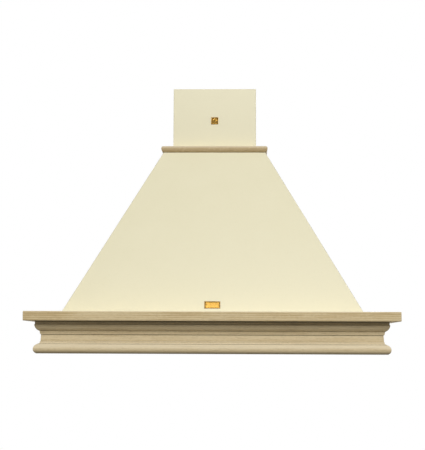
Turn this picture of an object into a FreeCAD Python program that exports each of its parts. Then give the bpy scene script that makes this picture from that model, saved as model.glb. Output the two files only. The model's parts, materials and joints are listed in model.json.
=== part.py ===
import FreeCAD, Part
import math
import os

from FreeCAD import Vector

# A wall-hung chimney hood in country style: a painted sheet-steel pyramid and chimney, trimmed
# with an oak collar, an oak shelf and an oak crown moulding, over a working extractor.
# Millimetres. The wall is the plane y = 0 and the hood hangs in front of it, at y < 0.
# x = 0 is the hood's middle, +x is to the right of someone facing it, and z = 0 is its lowest edge.

# ---------------------------------------------------------------- driving dimensions

# Oak shelf
shelf_width = 900.0
shelf_depth = 500.0
shelf_thickness = 23.0
shelf_edge_round = 2.0
canopy_reveal = 80.0  # shelf left bare around the canopy
canopy_seat = 20.0  # shelf running on under the canopy's edge

# Oak crown moulding under the shelf, from its back and its foot
crown_height = 78.0
crown_setback = 22.0  # from the shelf's edge to the moulding's widest point
torus_depth = 33.0
torus_height = 22.5
torus_nose_height = 10.5
torus_foot_depth = 25.5
torus_top_depth = 24.5
groove_height = 1.2
groove_cut = 1.2
cove_height = 3.8
bead_depth = 18.8
bead_height = 2.0
bead_slope = 0.6
frieze_foot_depth = 17.5
frieze_top_depth = 16.6
fillet_foot_depth = 18.4
fillet_top_depth = 20.0
fillet_height = 8.5
ovolo_foot_step = 1.2
ovolo_depth = 31.0
ovolo_height = 15.5
fascia_height = 8.0
fascia_set_in = 1.2
corner_block_leg = 30.0
corner_block_height = 32.0
corner_block_drop = 2.0  # from the filter panel down to the block's top

# Painted sheet-steel canopy
canopy_height = 425.0
canopy_sheet = 1.5
canopy_top_flange = 20.0
top_plate_sheet = 2.0
top_plate_play = 0.3
top_plate_lip = 20.0
top_plate_lip_width = 200.0

# Oak collar round the chimney's foot, from the chimney's face and the canopy's top
collar_height = 17.0
collar_depth = 30.0
collar_nose_height = 10.5
collar_foot_depth = 24.0  # the canopy's top ends flush with it
collar_top_depth = 25.5
collar_play = 0.2

# Painted sheet-steel chimney and the extension that slides up out of it
chimney_width = 220.0
chimney_depth = 230.0
chimney_showing = 159.0  # above the collar
chimney_sheet = 1.2
chimney_corner_round = 2.0
chimney_return = 15.0
extension_play = 1.0
extension_height = 150.0
bracket_height = 20.0
bracket_sheet = 2.0
bracket_top_gap = 12.0
bracket_reach = 80.0
bracket_hole_spacing = 120.0
bracket_hole_radius = 3.25

# Steel frame inside the crown, and the back panel that hangs on the wall
rail_width = 25.0
rail_sheet = 1.5
back_sheet = 2.0
back_play = 0.5
wall_hole_spacing_x = 220.0
wall_hole_spacing_z = 320.0
wall_hole_low = 150.0
wall_hole_radius = 4.5

# Filter panel, up inside the crown
recess_depth = 36.0
panel_sheet = 1.5
panel_play = 0.5

# Grease filters
filter_side_gap = 85.0  # from a filter to the crown's inner face
filter_front_gap = 90.0  # from the front rail to the filters: the strip for lamps and buttons
filter_thickness = 10.0
filter_spacing = 20.0
filter_wall_gap = 60.0
filter_play = 1.5
filter_bar = 14.0
filter_front_bar = 24.0
filter_lip = 2.0
mesh_thickness = 6.0
mesh_grip = 2.0
mesh_play = 0.2
mesh_pitch_x = 25.0
mesh_pitch_y = 17.0
mesh_strand = 2.6
hinge_inset = 6.0
hinge_pin_radius = 2.5
hinge_pin_length = 6.0
hinge_play = 0.1
ear_gap = 2.0
ear_thickness = 3.0
ear_half_length = 7.0
ear_height = 12.5

# Filter latches
latch_width = 30.0
latch_thickness = 3.6
latch_play = 0.2
latch_reach = 4.0
latch_body = 10.0
latch_travel = 5.0
latch_stop_gap = 1.0
grip_width = 20.0
grip_thickness = 4.0
grip_drop = 5.0

# Lamps
lamp_side_gap = 145.0  # from a lamp's middle to the crown's inner face
lamp_flange_radius = 34.0
lamp_flange_thickness = 2.0
lamp_barrel_radius = 29.5
lamp_barrel_height = 16.0
lamp_barrel_wall = 2.5
lamp_lip = 2.0
lamp_lip_height = 1.0
lamp_hole_play = 0.5
lens_thickness = 3.0
lens_play = 0.2
lamp_cup_wall = 1.5
lamp_cup_play = 0.2
lamp_cup_skirt = 8.0
lamp_cup_height = 22.0

# Push buttons
button_width = 16.0
button_depth = 12.0
button_pitch = 26.0
button_play = 0.5
button_drop = 3.0
button_travel = 2.5
button_shoulder = 1.2
button_shoulder_height = 1.9
button_rest_gap = 0.1
button_stem = 6.0
button_stem_length = 8.0
stem_play = 0.3
bezel_margin = 9.0
bezel_thickness = 2.5
switch_box_wall = 9.0
switch_box_height = 22.5
chamber_play = 0.6

# Blower: a double-inlet scroll with its outlet upwards
blower_height = 345.0
scroll_start_radius = 90.0
scroll_growth = 12.0  # for each quarter turn
scroll_half_width = 60.0
scroll_wall = 2.5
scroll_flange = 8.0
inlet_radius = 65.0
impeller_radius = 78.0
impeller_length = 100.0
impeller_ring_width = 14.0
impeller_ring_thickness = 2.0
blade_count = 36
blade_thickness = 1.0
blade_lean = 25.0
blade_bite = 0.5
hub_disc_thickness = 3.0
hub_disc_bite = 2.0
hub_radius = 10.0
hub_half_length = 5.0
shaft_radius = 4.0
shaft_play = 0.06
shaft_tail = 10.0
shaft_in_motor = 13.0
shaft_end_gap = 1.0
motor_radius = 42.0
motor_gap = 3.0
arm_width = 14.0
arm_overlap = 12.0
arm_count = 3
motor_bracket_sheet = 2.5
motor_bracket_rim = 2.0

# Duct outlet with its two damper flaps
duct_radius = 75.0
spigot_wall = 2.5
spigot_height = 63.0
spigot_flange_radius = 92.0
spigot_flange_thickness = 3.0
spigot_hole_play = 2.0
flap_pin_height = 22.0  # above the top plate
flap_pin_radius = 1.5
flap_pin_bite = 1.5
flap_pin_play = 0.05
flap_thickness = 1.2
flap_edge_play = 0.7
flap_knuckle_radius = 3.0
flap_knuckle_play = 0.1
flap_knuckle_length = 20.0
flap_knuckle_pitch = 25.0
flap_hinge_gap = 0.4
flap_ledge = 2.5
flap_ledge_height = 3.0
flap_ledge_gap = 0.2

# Wiring box and cable gland
terminal_box_offset = 130.0
terminal_box_level = 300.0
terminal_box_width = 80.0
terminal_box_height = 60.0
terminal_box_depth = 40.0
terminal_box_wall = 2.5
terminal_lid_thickness = 3.0
gland_offset = 88.0
gland_from_wall = 205.0
gland_stem_radius = 7.5
gland_hex_radius = 11.0
gland_nut_height = 5.0
gland_collar_height = 6.0
gland_dome_radius = 9.0
gland_dome_height = 12.0
gland_tail = 5.0
cable_radius = 4.0
gland_hole_play = 0.2

# Brass trim
badge_size = 19.0
badge_thickness = 1.2
badge_boss_radius = 6.0
badge_boss_rise = 1.0
badge_level = 73.0  # above the collar's top
name_plate_width = 39.0
name_plate_height = 19.0
name_plate_thickness = 1.2
name_plate_border = 2.2
name_plate_sink = 0.5
name_plate_level = 18.3  # its middle above the shelf

# Screws
screw_radius = 2.0
screw_play = 0.05
screw_head_radius = 3.5
screw_head_height = 2.0
wood_screw_length = 15.0
panel_screw_length = 8.0
screw_end_gap = 50.0  # from a rail's end to its first screw

# ---------------------------------------------------------------- places worked out from them

shelf_half = shelf_width / 2
shelf_bottom = crown_height
shelf_top = shelf_bottom + shelf_thickness
shelf_front = -shelf_depth
opening_half = shelf_half - canopy_reveal - canopy_seat
opening_front = shelf_front + canopy_reveal + canopy_seat

crown_back_half = shelf_half - crown_setback - torus_depth
crown_back_front = shelf_front + crown_setback + torus_depth

canopy_half = shelf_half - canopy_reveal
canopy_front = shelf_front + canopy_reveal
canopy_top = shelf_top + canopy_height
chimney_half = chimney_width / 2
chimney_front = -chimney_depth
collar_half = chimney_half + collar_depth
collar_front = chimney_front - collar_depth
canopy_top_half = chimney_half + collar_foot_depth
canopy_top_front = chimney_front - collar_foot_depth
canopy_side_slope = (canopy_half - canopy_top_half) / canopy_height
canopy_front_slope = (canopy_top_front - canopy_front) / canopy_height
canopy_side_wall = canopy_sheet * math.hypot(1, canopy_side_slope)
canopy_front_wall = canopy_sheet * math.hypot(1, canopy_front_slope)

top_plate_bottom = canopy_top - top_plate_sheet
collar_top = canopy_top + collar_height
chimney_top = collar_top + chimney_showing

rail_half = crown_back_half
rail_front = crown_back_front
panel_bottom = recess_depth
panel_top = panel_bottom + panel_sheet
rail_middle = (panel_top + shelf_bottom) / 2

filter_inner = filter_spacing / 2
filter_outer = rail_half - filter_side_gap
filter_rear = -filter_wall_gap
filter_front = rail_front + rail_width + filter_front_gap
filter_top = panel_bottom + filter_thickness
filter_middle = (filter_inner + filter_outer) / 2
hinge_y = filter_rear - hinge_inset
hinge_z = panel_bottom + filter_thickness / 2
strip_middle = (rail_front + rail_width + filter_front - filter_play) / 2
lamp_offset = rail_half - lamp_side_gap

button_count = 4
button_row_half = button_pitch * (button_count - 1) / 2
bezel_half = button_row_half + button_width / 2 + bezel_margin
bezel_half_depth = button_depth / 2 + bezel_margin
button_slot_half = button_row_half + button_width / 2 + button_shoulder + chamber_play
button_slot_half_depth = button_depth / 2 + button_shoulder + chamber_play
chamber_top = panel_bottom + button_rest_gap + button_shoulder_height + button_travel + chamber_play

scroll_rear_reach = scroll_start_radius + 3 * scroll_growth
spigot_y = chimney_front / 2
blower_y = spigot_y - scroll_rear_reach / 2
scroll_top = top_plate_bottom - spigot_flange_thickness
motor_start = hub_half_length + motor_gap
motor_end = scroll_half_width + scroll_wall
flap_z = canopy_top + flap_pin_height

UP = Vector(0, 0, 1)
DOWN = Vector(0, 0, -1)
RIGHT = Vector(1, 0, 0)
LEFT = Vector(-1, 0, 0)
FORWARD = Vector(0, -1, 0)
past = 1.0  # how far a cutting shape runs past the face it cuts


# ---------------------------------------------------------------- shapes used again and again


def box(x, y, z):
    """A block between two limits on each axis."""
    return Part.makeBox(x[1] - x[0], y[1] - y[0], z[1] - z[0], Vector(x[0], y[0], z[0]))


def rod(radius, start, along):
    """A round bar from start, as long as the vector along."""
    return Part.makeCylinder(radius, along.Length, start, along)


def tube(outer, inner, start, along):
    """A round tube from start, as long as the vector along."""
    return rod(outer, start, along).cut(rod(inner, start, along))


def prism(points, along):
    """A straight-sided block on a closed outline of points."""
    return Part.Face(Part.makePolygon(points + points[:1])).extrude(along)


def mirrored(shape):
    """The same piece on the other side of the hood's middle."""
    return shape.mirror(Vector(0, 0, 0), RIGHT)


def spread(count, low, high):
    """Evenly spaced places from low to high."""
    return [low + (high - low) * i / (count - 1) for i in range(count)]


def hopper(low, high):
    """A flat-sided solid between two level rectangles, each (half_width, front, back, level)."""
    rings = []
    for half, front, back, level in (low, high):
        rings.append(
            [
                Vector(-half, front, level),
                Vector(half, front, level),
                Vector(half, back, level),
                Vector(-half, back, level),
            ]
        )
    bottom, top = rings
    loops = [bottom, top]
    for i in range(4):
        j = (i + 1) % 4
        loops.append([bottom[i], bottom[j], top[j], top[i]])
    faces = [Part.Face(Part.makePolygon(loop + loop[:1])) for loop in loops]
    solid = Part.Solid(Part.Shell(faces))
    if solid.Volume < 0:
        solid.reverse()
    return solid


def front_wedge(half, front, slope=1.0):
    """Everything in front of two upright joints that run back from the front corners in plan."""
    spare = 100.0
    apex = Vector(0, front + half * slope, -spare)
    left = Vector(-half - spare, front - spare * slope, -spare)
    right = Vector(half + spare, front - spare * slope, -spare)
    return prism([apex, left, right], UP * (chimney_top + 2 * spare))


def split_at_corners(ring, wedge):
    """A three-sided ring as its front, left and right pieces."""
    front = ring.common(wedge).removeSplitter()
    sides = sorted(ring.cut(wedge).Solids, key=lambda solid: solid.CenterOfMass.x)
    return front, sides[0], sides[-1]


def three_sided_ring(outer_half, outer_front, inner_half, inner_front, z, edge_round):
    """A flat ring round three sides, open at the wall, with its outer edges rounded over."""
    ring = box((-outer_half, outer_half), (outer_front, 0), z)
    edges = []
    for edge in ring.Edges:
        middle = edge.CenterOfMass
        on_side = abs(abs(middle.x) - outer_half) < 0.001
        on_front = abs(middle.y - outer_front) < 0.001
        if (on_side or on_front) and middle.y < -0.001:
            edges.append(edge)
    ring = ring.makeFillet(edge_round, edges)
    return ring.cut(box((-inner_half, inner_half), (inner_front, past), (z[0] - past, z[1] + past)))


def screw(seat, direction, length):
    """A screw whose head sits on seat and whose shank runs from there along direction."""
    head = rod(screw_head_radius, seat, direction * -screw_head_height)
    crown = [edge for edge in head.Edges if abs((edge.CenterOfMass - seat).dot(direction)) > past]
    head = head.makeFillet(screw_head_height / 2, crown)
    return head.fuse(rod(screw_radius, seat, direction * length)).removeSplitter()


def with_holes(piece, seats, length):
    """The piece with a close hole for each screw, given as (seat, direction)."""
    for seat, direction in seats:
        start = seat - direction * past
        piece = piece.cut(rod(screw_radius + screw_play, start, direction * (length + past)))
    return piece


# ---------------------------------------------------------------- where the screws go


def rail_screw_xs(count):
    return spread(count, -rail_half + screw_end_gap, rail_half - screw_end_gap)


def rail_screw_ys(count):
    return spread(count, rail_front + rail_width + screw_end_gap, -rail_width - screw_end_gap)


def shelf_screw_seats():
    """Up through the rails' top flanges into the shelf."""
    level = shelf_bottom - rail_sheet
    front_y = rail_front + rail_width / 2
    seats = [(Vector(x, front_y, level), UP) for x in rail_screw_xs(4)]
    for side in (-1, 1):
        x = side * (rail_half - rail_width / 2)
        seats += [(Vector(x, y, level), UP) for y in rail_screw_ys(2)]
    return seats


def crown_screw_seats():
    """Out through the rails' webs into the crown moulding."""
    front_y = rail_front + rail_sheet
    seats = [(Vector(x, front_y, rail_middle), FORWARD) for x in rail_screw_xs(3)]
    for side, way in ((-1, LEFT), (1, RIGHT)):
        x = side * (rail_half - rail_sheet)
        seats += [(Vector(x, y, rail_middle), way) for y in rail_screw_ys(2)]
    return seats


def canopy_screw_seats():
    """Down through the canopy's bottom flange into the shelf."""
    level = shelf_top + canopy_sheet
    inset = canopy_seat / 2
    seats = []
    for x in spread(4, -opening_half + screw_end_gap, opening_half - screw_end_gap):
        seats.append((Vector(x, opening_front - inset, level), DOWN))
    for side in (-1, 1):
        for y in spread(3, opening_front + screw_end_gap, -screw_end_gap):
            seats.append((Vector(side * (opening_half + inset), y, level), DOWN))
    return seats


def collar_screw_seats():
    """Out through the chimney's foot into the collar."""
    level = canopy_top + collar_height / 2
    seats = []
    for x in (-chimney_half / 2, chimney_half / 2):
        seats.append((Vector(x, chimney_front + chimney_sheet, level), FORWARD))
    for side, way in ((-1, LEFT), (1, RIGHT)):
        for y in (chimney_front * 3 / 4, chimney_front / 4):
            seats.append((Vector(side * (chimney_half - chimney_sheet), y, level), way))
    return seats


def panel_screw_seats():
    """Up through the filter panel into the rails' bottom flanges."""
    front_y = rail_front + rail_width / 2
    rear_y = -rail_width / 2
    seats = []
    for x in rail_screw_xs(4):
        seats.append((Vector(x, front_y, panel_bottom), UP))
        seats.append((Vector(x, rear_y, panel_bottom), UP))
    for side in (-1, 1):
        x = side * (rail_half - rail_width / 2)
        seats += [(Vector(x, y, panel_bottom), UP) for y in rail_screw_ys(2)]
    return seats


def wood_screw_seats():
    return shelf_screw_seats() + crown_screw_seats() + canopy_screw_seats() + collar_screw_seats()


def wood_screws():
    screws = [screw(seat, way, wood_screw_length) for seat, way in wood_screw_seats()]
    return Part.makeCompound(screws)


def underside_screws():
    screws = [screw(seat, way, panel_screw_length) for seat, way in panel_screw_seats()]
    return Part.makeCompound(screws)


# ---------------------------------------------------------------- oak shelf, crown and collar


def shelf_boards():
    """Three boards, mitred at the front corners, that carry the canopy."""
    ring = three_sided_ring(
        shelf_half,
        shelf_front,
        opening_half,
        opening_front,
        (shelf_bottom, shelf_top),
        shelf_edge_round,
    )
    ring = with_holes(ring, shelf_screw_seats() + canopy_screw_seats(), wood_screw_length)
    return split_at_corners(ring, front_wedge(shelf_half, shelf_front))


def mitred_mouldings(profile, reach, back_half, back_front, screws):
    """Three lengths of one moulding round a block, mitred at the front corners, with their holes."""
    wedge = front_wedge(back_half, back_front)
    half = back_half + reach + past
    start = back_front - reach - past
    front_face = profile(lambda depth, z: Vector(-half, back_front - depth, z))
    front = front_face.extrude(RIGHT * (2 * half)).common(wedge)
    side_face = profile(lambda depth, z: Vector(back_half + depth, start, z))
    right = side_face.extrude(FORWARD * start).cut(wedge)
    return [with_holes(piece, screws, wood_screw_length) for piece in (front, mirrored(right), right)]


def sweep_arc(place, upright, end):
    """An arc that stands upright at its first point; both are (depth, height) pairs."""
    back = upright[0] - end[0]
    rise = end[1] - upright[1]
    radius = (back**2 + rise**2) / (2 * back)
    half_turn = math.asin(rise / radius) / 2
    middle = (
        upright[0] - radius * (1 - math.cos(half_turn)),
        upright[1] + radius * math.sin(half_turn),
    )
    return Part.Arc(place(*upright), place(*middle), place(*end)).toShape()


def crown_profile(place):
    """The moulding's section: torus, groove, cove, bead, frieze, fillet, ovolo and fascia."""
    groove_depth = torus_top_depth - groove_cut
    cove_foot = torus_height + groove_height
    cove_top = cove_foot + cove_height
    bead_top = cove_top + bead_height
    ovolo_top = crown_height - fascia_height
    ovolo_foot = ovolo_top - ovolo_height
    ovolo_foot_depth = fillet_top_depth + ovolo_foot_step
    fillet_foot = ovolo_foot - fillet_height
    fascia_depth = ovolo_depth - fascia_set_in
    straight_runs = [
        [(ovolo_depth, ovolo_top), (fascia_depth, ovolo_top), (fascia_depth, crown_height)],
        [(fascia_depth, crown_height), (0, crown_height), (0, 0), (torus_foot_depth, 0)],
        [(torus_top_depth, torus_height), (groove_depth, torus_height), (groove_depth, cove_foot)],
        [(bead_depth, cove_top), (bead_depth, bead_top - bead_slope), (frieze_foot_depth, bead_top)],
        [(frieze_foot_depth, bead_top), (frieze_top_depth, fillet_foot)],
        [(frieze_top_depth, fillet_foot), (fillet_foot_depth, fillet_foot)],
        [(fillet_foot_depth, fillet_foot), (fillet_top_depth, ovolo_foot), (ovolo_foot_depth, ovolo_foot)],
    ]
    torus_nose = (torus_depth, torus_nose_height)
    edges = [
        sweep_arc(place, torus_nose, (torus_foot_depth, 0)),
        sweep_arc(place, torus_nose, (torus_top_depth, torus_height)),
        sweep_arc(place, (bead_depth, cove_top), (groove_depth, cove_foot)),
        sweep_arc(place, (ovolo_depth, ovolo_top), (ovolo_foot_depth, ovolo_foot)),
    ]
    for run in straight_runs:
        for start, end in zip(run, run[1:]):
            edges.append(Part.makeLine(place(*start), place(*end)))
    return Part.Face(Part.Wire(Part.__sortEdges__(edges)))


def crown_mouldings():
    """Three lengths of the crown, round the shelf's underside."""
    screws = crown_screw_seats()
    return mitred_mouldings(crown_profile, torus_depth, crown_back_half, crown_back_front, screws)


def crown_corner_blocks():
    """Glue blocks behind the crown's two mitres."""
    top = panel_bottom - corner_block_drop
    x, y = crown_back_half, crown_back_front
    outline = [
        Vector(x, y, top),
        Vector(x - corner_block_leg, y, top),
        Vector(x, y + corner_block_leg, top),
    ]
    right = prism(outline, DOWN * corner_block_height)
    return Part.makeCompound([mirrored(right), right])


def collar_profile(place):
    """The strip's section: it swells to a nose near its top and falls back to the canopy."""
    nose = (collar_depth, collar_nose_height)
    corners = [(collar_top_depth, collar_height), (collar_play, collar_height)]
    corners += [(collar_play, 0), (collar_foot_depth, 0)]

    def lifted(depth, z):
        return place(depth, canopy_top + z)

    edges = [sweep_arc(lifted, nose, corners[0]), sweep_arc(lifted, nose, corners[-1])]
    for start, end in zip(corners, corners[1:]):
        edges.append(Part.makeLine(lifted(*start), lifted(*end)))
    return Part.Face(Part.Wire(Part.__sortEdges__(edges)))


def collar_strips():
    """Three lengths of the collar, round the chimney's foot."""
    screws = collar_screw_seats()
    return mitred_mouldings(collar_profile, collar_depth, chimney_half, chimney_front, screws)


# ---------------------------------------------------------------- painted canopy and chimney


def canopy_section(level, side_inset=0.0, front_inset=0.0, back=0.0):
    """The canopy's rectangle at a level, drawn in by its wall if that is asked for."""
    rise = level - shelf_top
    half = canopy_half - canopy_side_slope * rise - side_inset
    front = canopy_front + canopy_front_slope * rise + front_inset
    return half, front, back, level


def canopy_cavity(low, high):
    """The space inside the canopy's sheet between two levels, open towards the wall."""
    sections = [
        canopy_section(level, canopy_side_wall, canopy_front_wall, past) for level in (low, high)
    ]
    return hopper(*sections)


def canopy_panels():
    """Three sheets welded along the hips, with a flange at the foot and one under the top."""
    outer = hopper(canopy_section(shelf_top), canopy_section(canopy_top))
    flange_bottom = top_plate_bottom - canopy_sheet
    top_half, top_front, _, _ = canopy_section(top_plate_bottom)
    seat_half = top_half - canopy_top_flange
    seat_front = top_front + canopy_top_flange
    cavity = canopy_cavity(shelf_top + canopy_sheet, flange_bottom)
    top_seat = canopy_cavity(top_plate_bottom, canopy_top + past)
    foot_hole = box(
        (-opening_half, opening_half),
        (opening_front, past),
        (shelf_top - past, shelf_top + canopy_sheet + past),
    )
    top_hole = box(
        (-seat_half, seat_half), (seat_front, past), (flange_bottom - past, canopy_top + past)
    )
    shell = outer.cut(cavity).cut(top_seat).cut(foot_hole).cut(top_hole)
    shell = with_holes(shell, canopy_screw_seats(), wood_screw_length)
    hip_slope = canopy_front_slope / canopy_side_slope
    return split_at_corners(shell, front_wedge(canopy_half, canopy_front, hip_slope))


def canopy_top_plate():
    """The plate that closes the canopy, carries the chimney and holds the duct outlet."""
    half, front, _, _ = canopy_section(canopy_top, canopy_side_wall, canopy_front_wall)
    plate = box(
        (-half + top_plate_play, half - top_plate_play),
        (front + top_plate_play, 0),
        (top_plate_bottom, canopy_top),
    )
    lip = box(
        (-top_plate_lip_width / 2, top_plate_lip_width / 2),
        (-back_sheet - top_plate_sheet, -back_sheet),
        (top_plate_bottom - top_plate_lip, top_plate_bottom),
    )
    plate = plate.fuse(lip).removeSplitter()
    start = top_plate_bottom - past
    through = UP * (top_plate_sheet + 2 * past)
    duct_hole = rod(duct_radius + spigot_hole_play, Vector(0, spigot_y, start), through)
    gland_hole = rod(
        gland_stem_radius + gland_hole_play, Vector(gland_offset, -gland_from_wall, start), through
    )
    return plate.cut(duct_hole).cut(gland_hole)


def folded_cover(half, front, back, z, corner_round):
    """A sheet folded round three sides, with a narrow return along the wall at each side."""
    outer = box((-half, half), (front, back), z)
    corners = [
        edge
        for edge in outer.Edges
        if abs(edge.CenterOfMass.y - front) < 0.001 and abs(abs(edge.CenterOfMass.x) - half) < 0.001
    ]
    outer = outer.makeFillet(corner_round, corners)
    inside = box(
        (-half + chimney_sheet, half - chimney_sheet),
        (front + chimney_sheet, back - chimney_sheet),
        (z[0] - past, z[1] + past),
    )
    gap_half = half - chimney_sheet - chimney_return
    gap = box(
        (-gap_half, gap_half), (back - chimney_sheet - past, back + past), (z[0] - past, z[1] + past)
    )
    return outer.cut(inside).cut(gap)


def chimney_cover():
    """The chimney's lower cover, which stands on the top plate inside the collar."""
    cover = folded_cover(
        chimney_half, chimney_front, 0, (canopy_top, chimney_top), chimney_corner_round
    )
    return with_holes(cover, collar_screw_seats(), wood_screw_length)


def extension_inset():
    return chimney_sheet + extension_play


def chimney_extension():
    """The sliding cover that closes the gap up to the ceiling."""
    inset = extension_inset()
    bottom = chimney_top - extension_height
    return folded_cover(
        chimney_half - inset,
        chimney_front + inset,
        -inset,
        (bottom, chimney_top),
        chimney_corner_round,
    )


def chimney_wall_bracket():
    """A joggled strip: its middle lies on the wall and its ends carry the extension."""
    top = chimney_top - bracket_top_gap
    z = (top - bracket_height, top)
    flange_face = -extension_inset() - chimney_sheet
    end_half = chimney_half - extension_inset() - chimney_sheet
    middle = box((-bracket_reach, bracket_reach), (-bracket_sheet, 0), z)
    strip = middle
    for side in (-1, 1):
        inner, outer = side * (bracket_reach - bracket_sheet), side * end_half
        knee = side * bracket_reach
        back_y = flange_face - bracket_sheet
        strip = strip.fuse(box(sorted((inner, outer)), (back_y, flange_face), z))
        strip = strip.fuse(box(sorted((inner, knee)), (back_y, 0), z))
    strip = strip.removeSplitter()
    level = top - bracket_height / 2
    for x in (-bracket_hole_spacing / 2, bracket_hole_spacing / 2):
        start = Vector(x, -bracket_sheet - past, level)
        strip = strip.cut(rod(bracket_hole_radius, start, Vector(0, bracket_sheet + 2 * past, 0)))
    return strip


# ---------------------------------------------------------------- steel frame and wall panel


def drilled_rail(rail):
    """A rail with the holes for every screw that passes it."""
    rail = with_holes(rail, shelf_screw_seats() + crown_screw_seats(), wood_screw_length)
    return with_holes(rail, panel_screw_seats(), panel_screw_length)


def base_front_rail():
    """A channel behind the front moulding, open towards the wall."""
    rear = rail_front + rail_width
    rail = box((-rail_half, rail_half), (rail_front, rear), (panel_top, shelf_bottom))
    hollow = box(
        (-rail_half - past, rail_half + past),
        (rail_front + rail_sheet, rear + past),
        (panel_top + rail_sheet, shelf_bottom - rail_sheet),
    )
    return drilled_rail(rail.cut(hollow))


def base_right_rail():
    """A channel behind the right-hand moulding, open towards the middle."""
    inner = rail_half - rail_width
    y = (rail_front + rail_width, -rail_width)
    rail = box((inner, rail_half), y, (panel_top, shelf_bottom))
    hollow = box(
        (inner - past, rail_half - rail_sheet),
        (y[0] - past, y[1] + past),
        (panel_top + rail_sheet, shelf_bottom - rail_sheet),
    )
    return drilled_rail(rail.cut(hollow))


def base_rear_rail():
    """A channel against the wall whose web runs down to the hood's lowest edge."""
    rail = box((-rail_half, rail_half), (-rail_width, 0), (panel_top, shelf_bottom))
    hollow = box(
        (-rail_half - past, rail_half + past),
        (-rail_width - past, -rail_sheet),
        (panel_top + rail_sheet, shelf_bottom - rail_sheet),
    )
    apron = box((-rail_half, rail_half), (-rail_sheet, 0), (0, panel_top))
    return drilled_rail(rail.cut(hollow).fuse(apron).removeSplitter())


def back_panel():
    """The sheet that closes the canopy's back and hangs the hood on its wall screws."""
    foot = shelf_top + canopy_sheet + back_play
    head = top_plate_bottom - canopy_sheet - back_play
    foot_half = canopy_section(foot, canopy_side_wall)[0] - back_play
    head_half = canopy_section(head, canopy_side_wall)[0] - back_play
    neck_half = opening_half - back_play
    right_side = [
        (neck_half, shelf_bottom),
        (neck_half, foot),
        (foot_half, foot),
        (head_half, head),
    ]
    outline = [Vector(x, 0, z) for x, z in right_side]
    outline += [Vector(-x, 0, z) for x, z in reversed(right_side)]
    panel = prism(outline, FORWARD * back_sheet)
    for x in (-wall_hole_spacing_x / 2, wall_hole_spacing_x / 2):
        for z in (wall_hole_low, wall_hole_low + wall_hole_spacing_z):
            start = Vector(x, past, z)
            panel = panel.cut(rod(wall_hole_radius, start, FORWARD * (back_sheet + 2 * past)))
    return panel


def underside_panel():
    """The plate seen from below, cut out for the filters, the lamps and the buttons."""
    half = rail_half - panel_play
    z = (panel_bottom - past, panel_top + past)
    panel = box(
        (-half, half),
        (rail_front + panel_play, -rail_sheet - panel_play),
        (panel_bottom, panel_top),
    )
    filter_hole = box(
        (filter_inner - filter_play, filter_outer + filter_play),
        (filter_front - filter_play, filter_rear + filter_play),
        z,
    )
    lamp_hole = rod(
        lamp_barrel_radius + lamp_hole_play,
        Vector(lamp_offset, strip_middle, z[0]),
        UP * (z[1] - z[0]),
    )
    for hole in (filter_hole, lamp_hole):
        panel = panel.cut(hole).cut(mirrored(hole))
    button_hole = box(
        (-button_slot_half, button_slot_half),
        (strip_middle - button_slot_half_depth, strip_middle + button_slot_half_depth),
        z,
    )
    return with_holes(panel.cut(button_hole), panel_screw_seats(), panel_screw_length)


# ---------------------------------------------------------------- grease filters (the right one)


def filter_frame():
    """An aluminium frame with a slot for its mesh, a pin at each rear corner and a latch slot."""
    frame = box(
        (filter_inner, filter_outer), (filter_front, filter_rear), (panel_bottom, filter_top)
    )
    window = box(
        (filter_inner + filter_bar, filter_outer - filter_bar),
        (filter_front + filter_front_bar, filter_rear - filter_bar),
        (panel_bottom - past, filter_top + past),
    )
    frame = frame.cut(window).cut(filter_mesh_block(0.0))
    for x, way in ((filter_inner, LEFT), (filter_outer, RIGHT)):
        start = Vector(x, hinge_y, hinge_z) - way * past
        frame = frame.fuse(rod(hinge_pin_radius, start, way * (hinge_pin_length + past)))
    half = latch_width / 2 + latch_play
    floor = panel_top + latch_play / 2
    depth = latch_body + latch_travel + latch_stop_gap
    slot = box(
        (filter_middle - half, filter_middle + half),
        (filter_front - past, filter_front + depth),
        (floor, floor + latch_thickness + 2 * latch_play),
    )
    grip_half = grip_width / 2 + latch_play
    grip_start = grip_front() - latch_play
    grip_slit = box(
        (filter_middle - grip_half, filter_middle + grip_half),
        (grip_start, grip_start + grip_thickness + latch_travel + 2 * latch_play),
        (panel_bottom - past, floor + past),
    )
    return frame.cut(slot).cut(grip_slit).removeSplitter()


def filter_mesh_block(play):
    """The block that the mesh fills, in the slot round the frame's window."""
    reach = mesh_grip - play
    thickness = mesh_thickness - 2 * play
    low = panel_bottom + filter_lip + play
    return box(
        (filter_inner + filter_bar - reach, filter_outer - filter_bar + reach),
        (filter_front + filter_front_bar - reach, filter_rear - filter_bar + reach),
        (low, low + thickness),
    )


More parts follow.
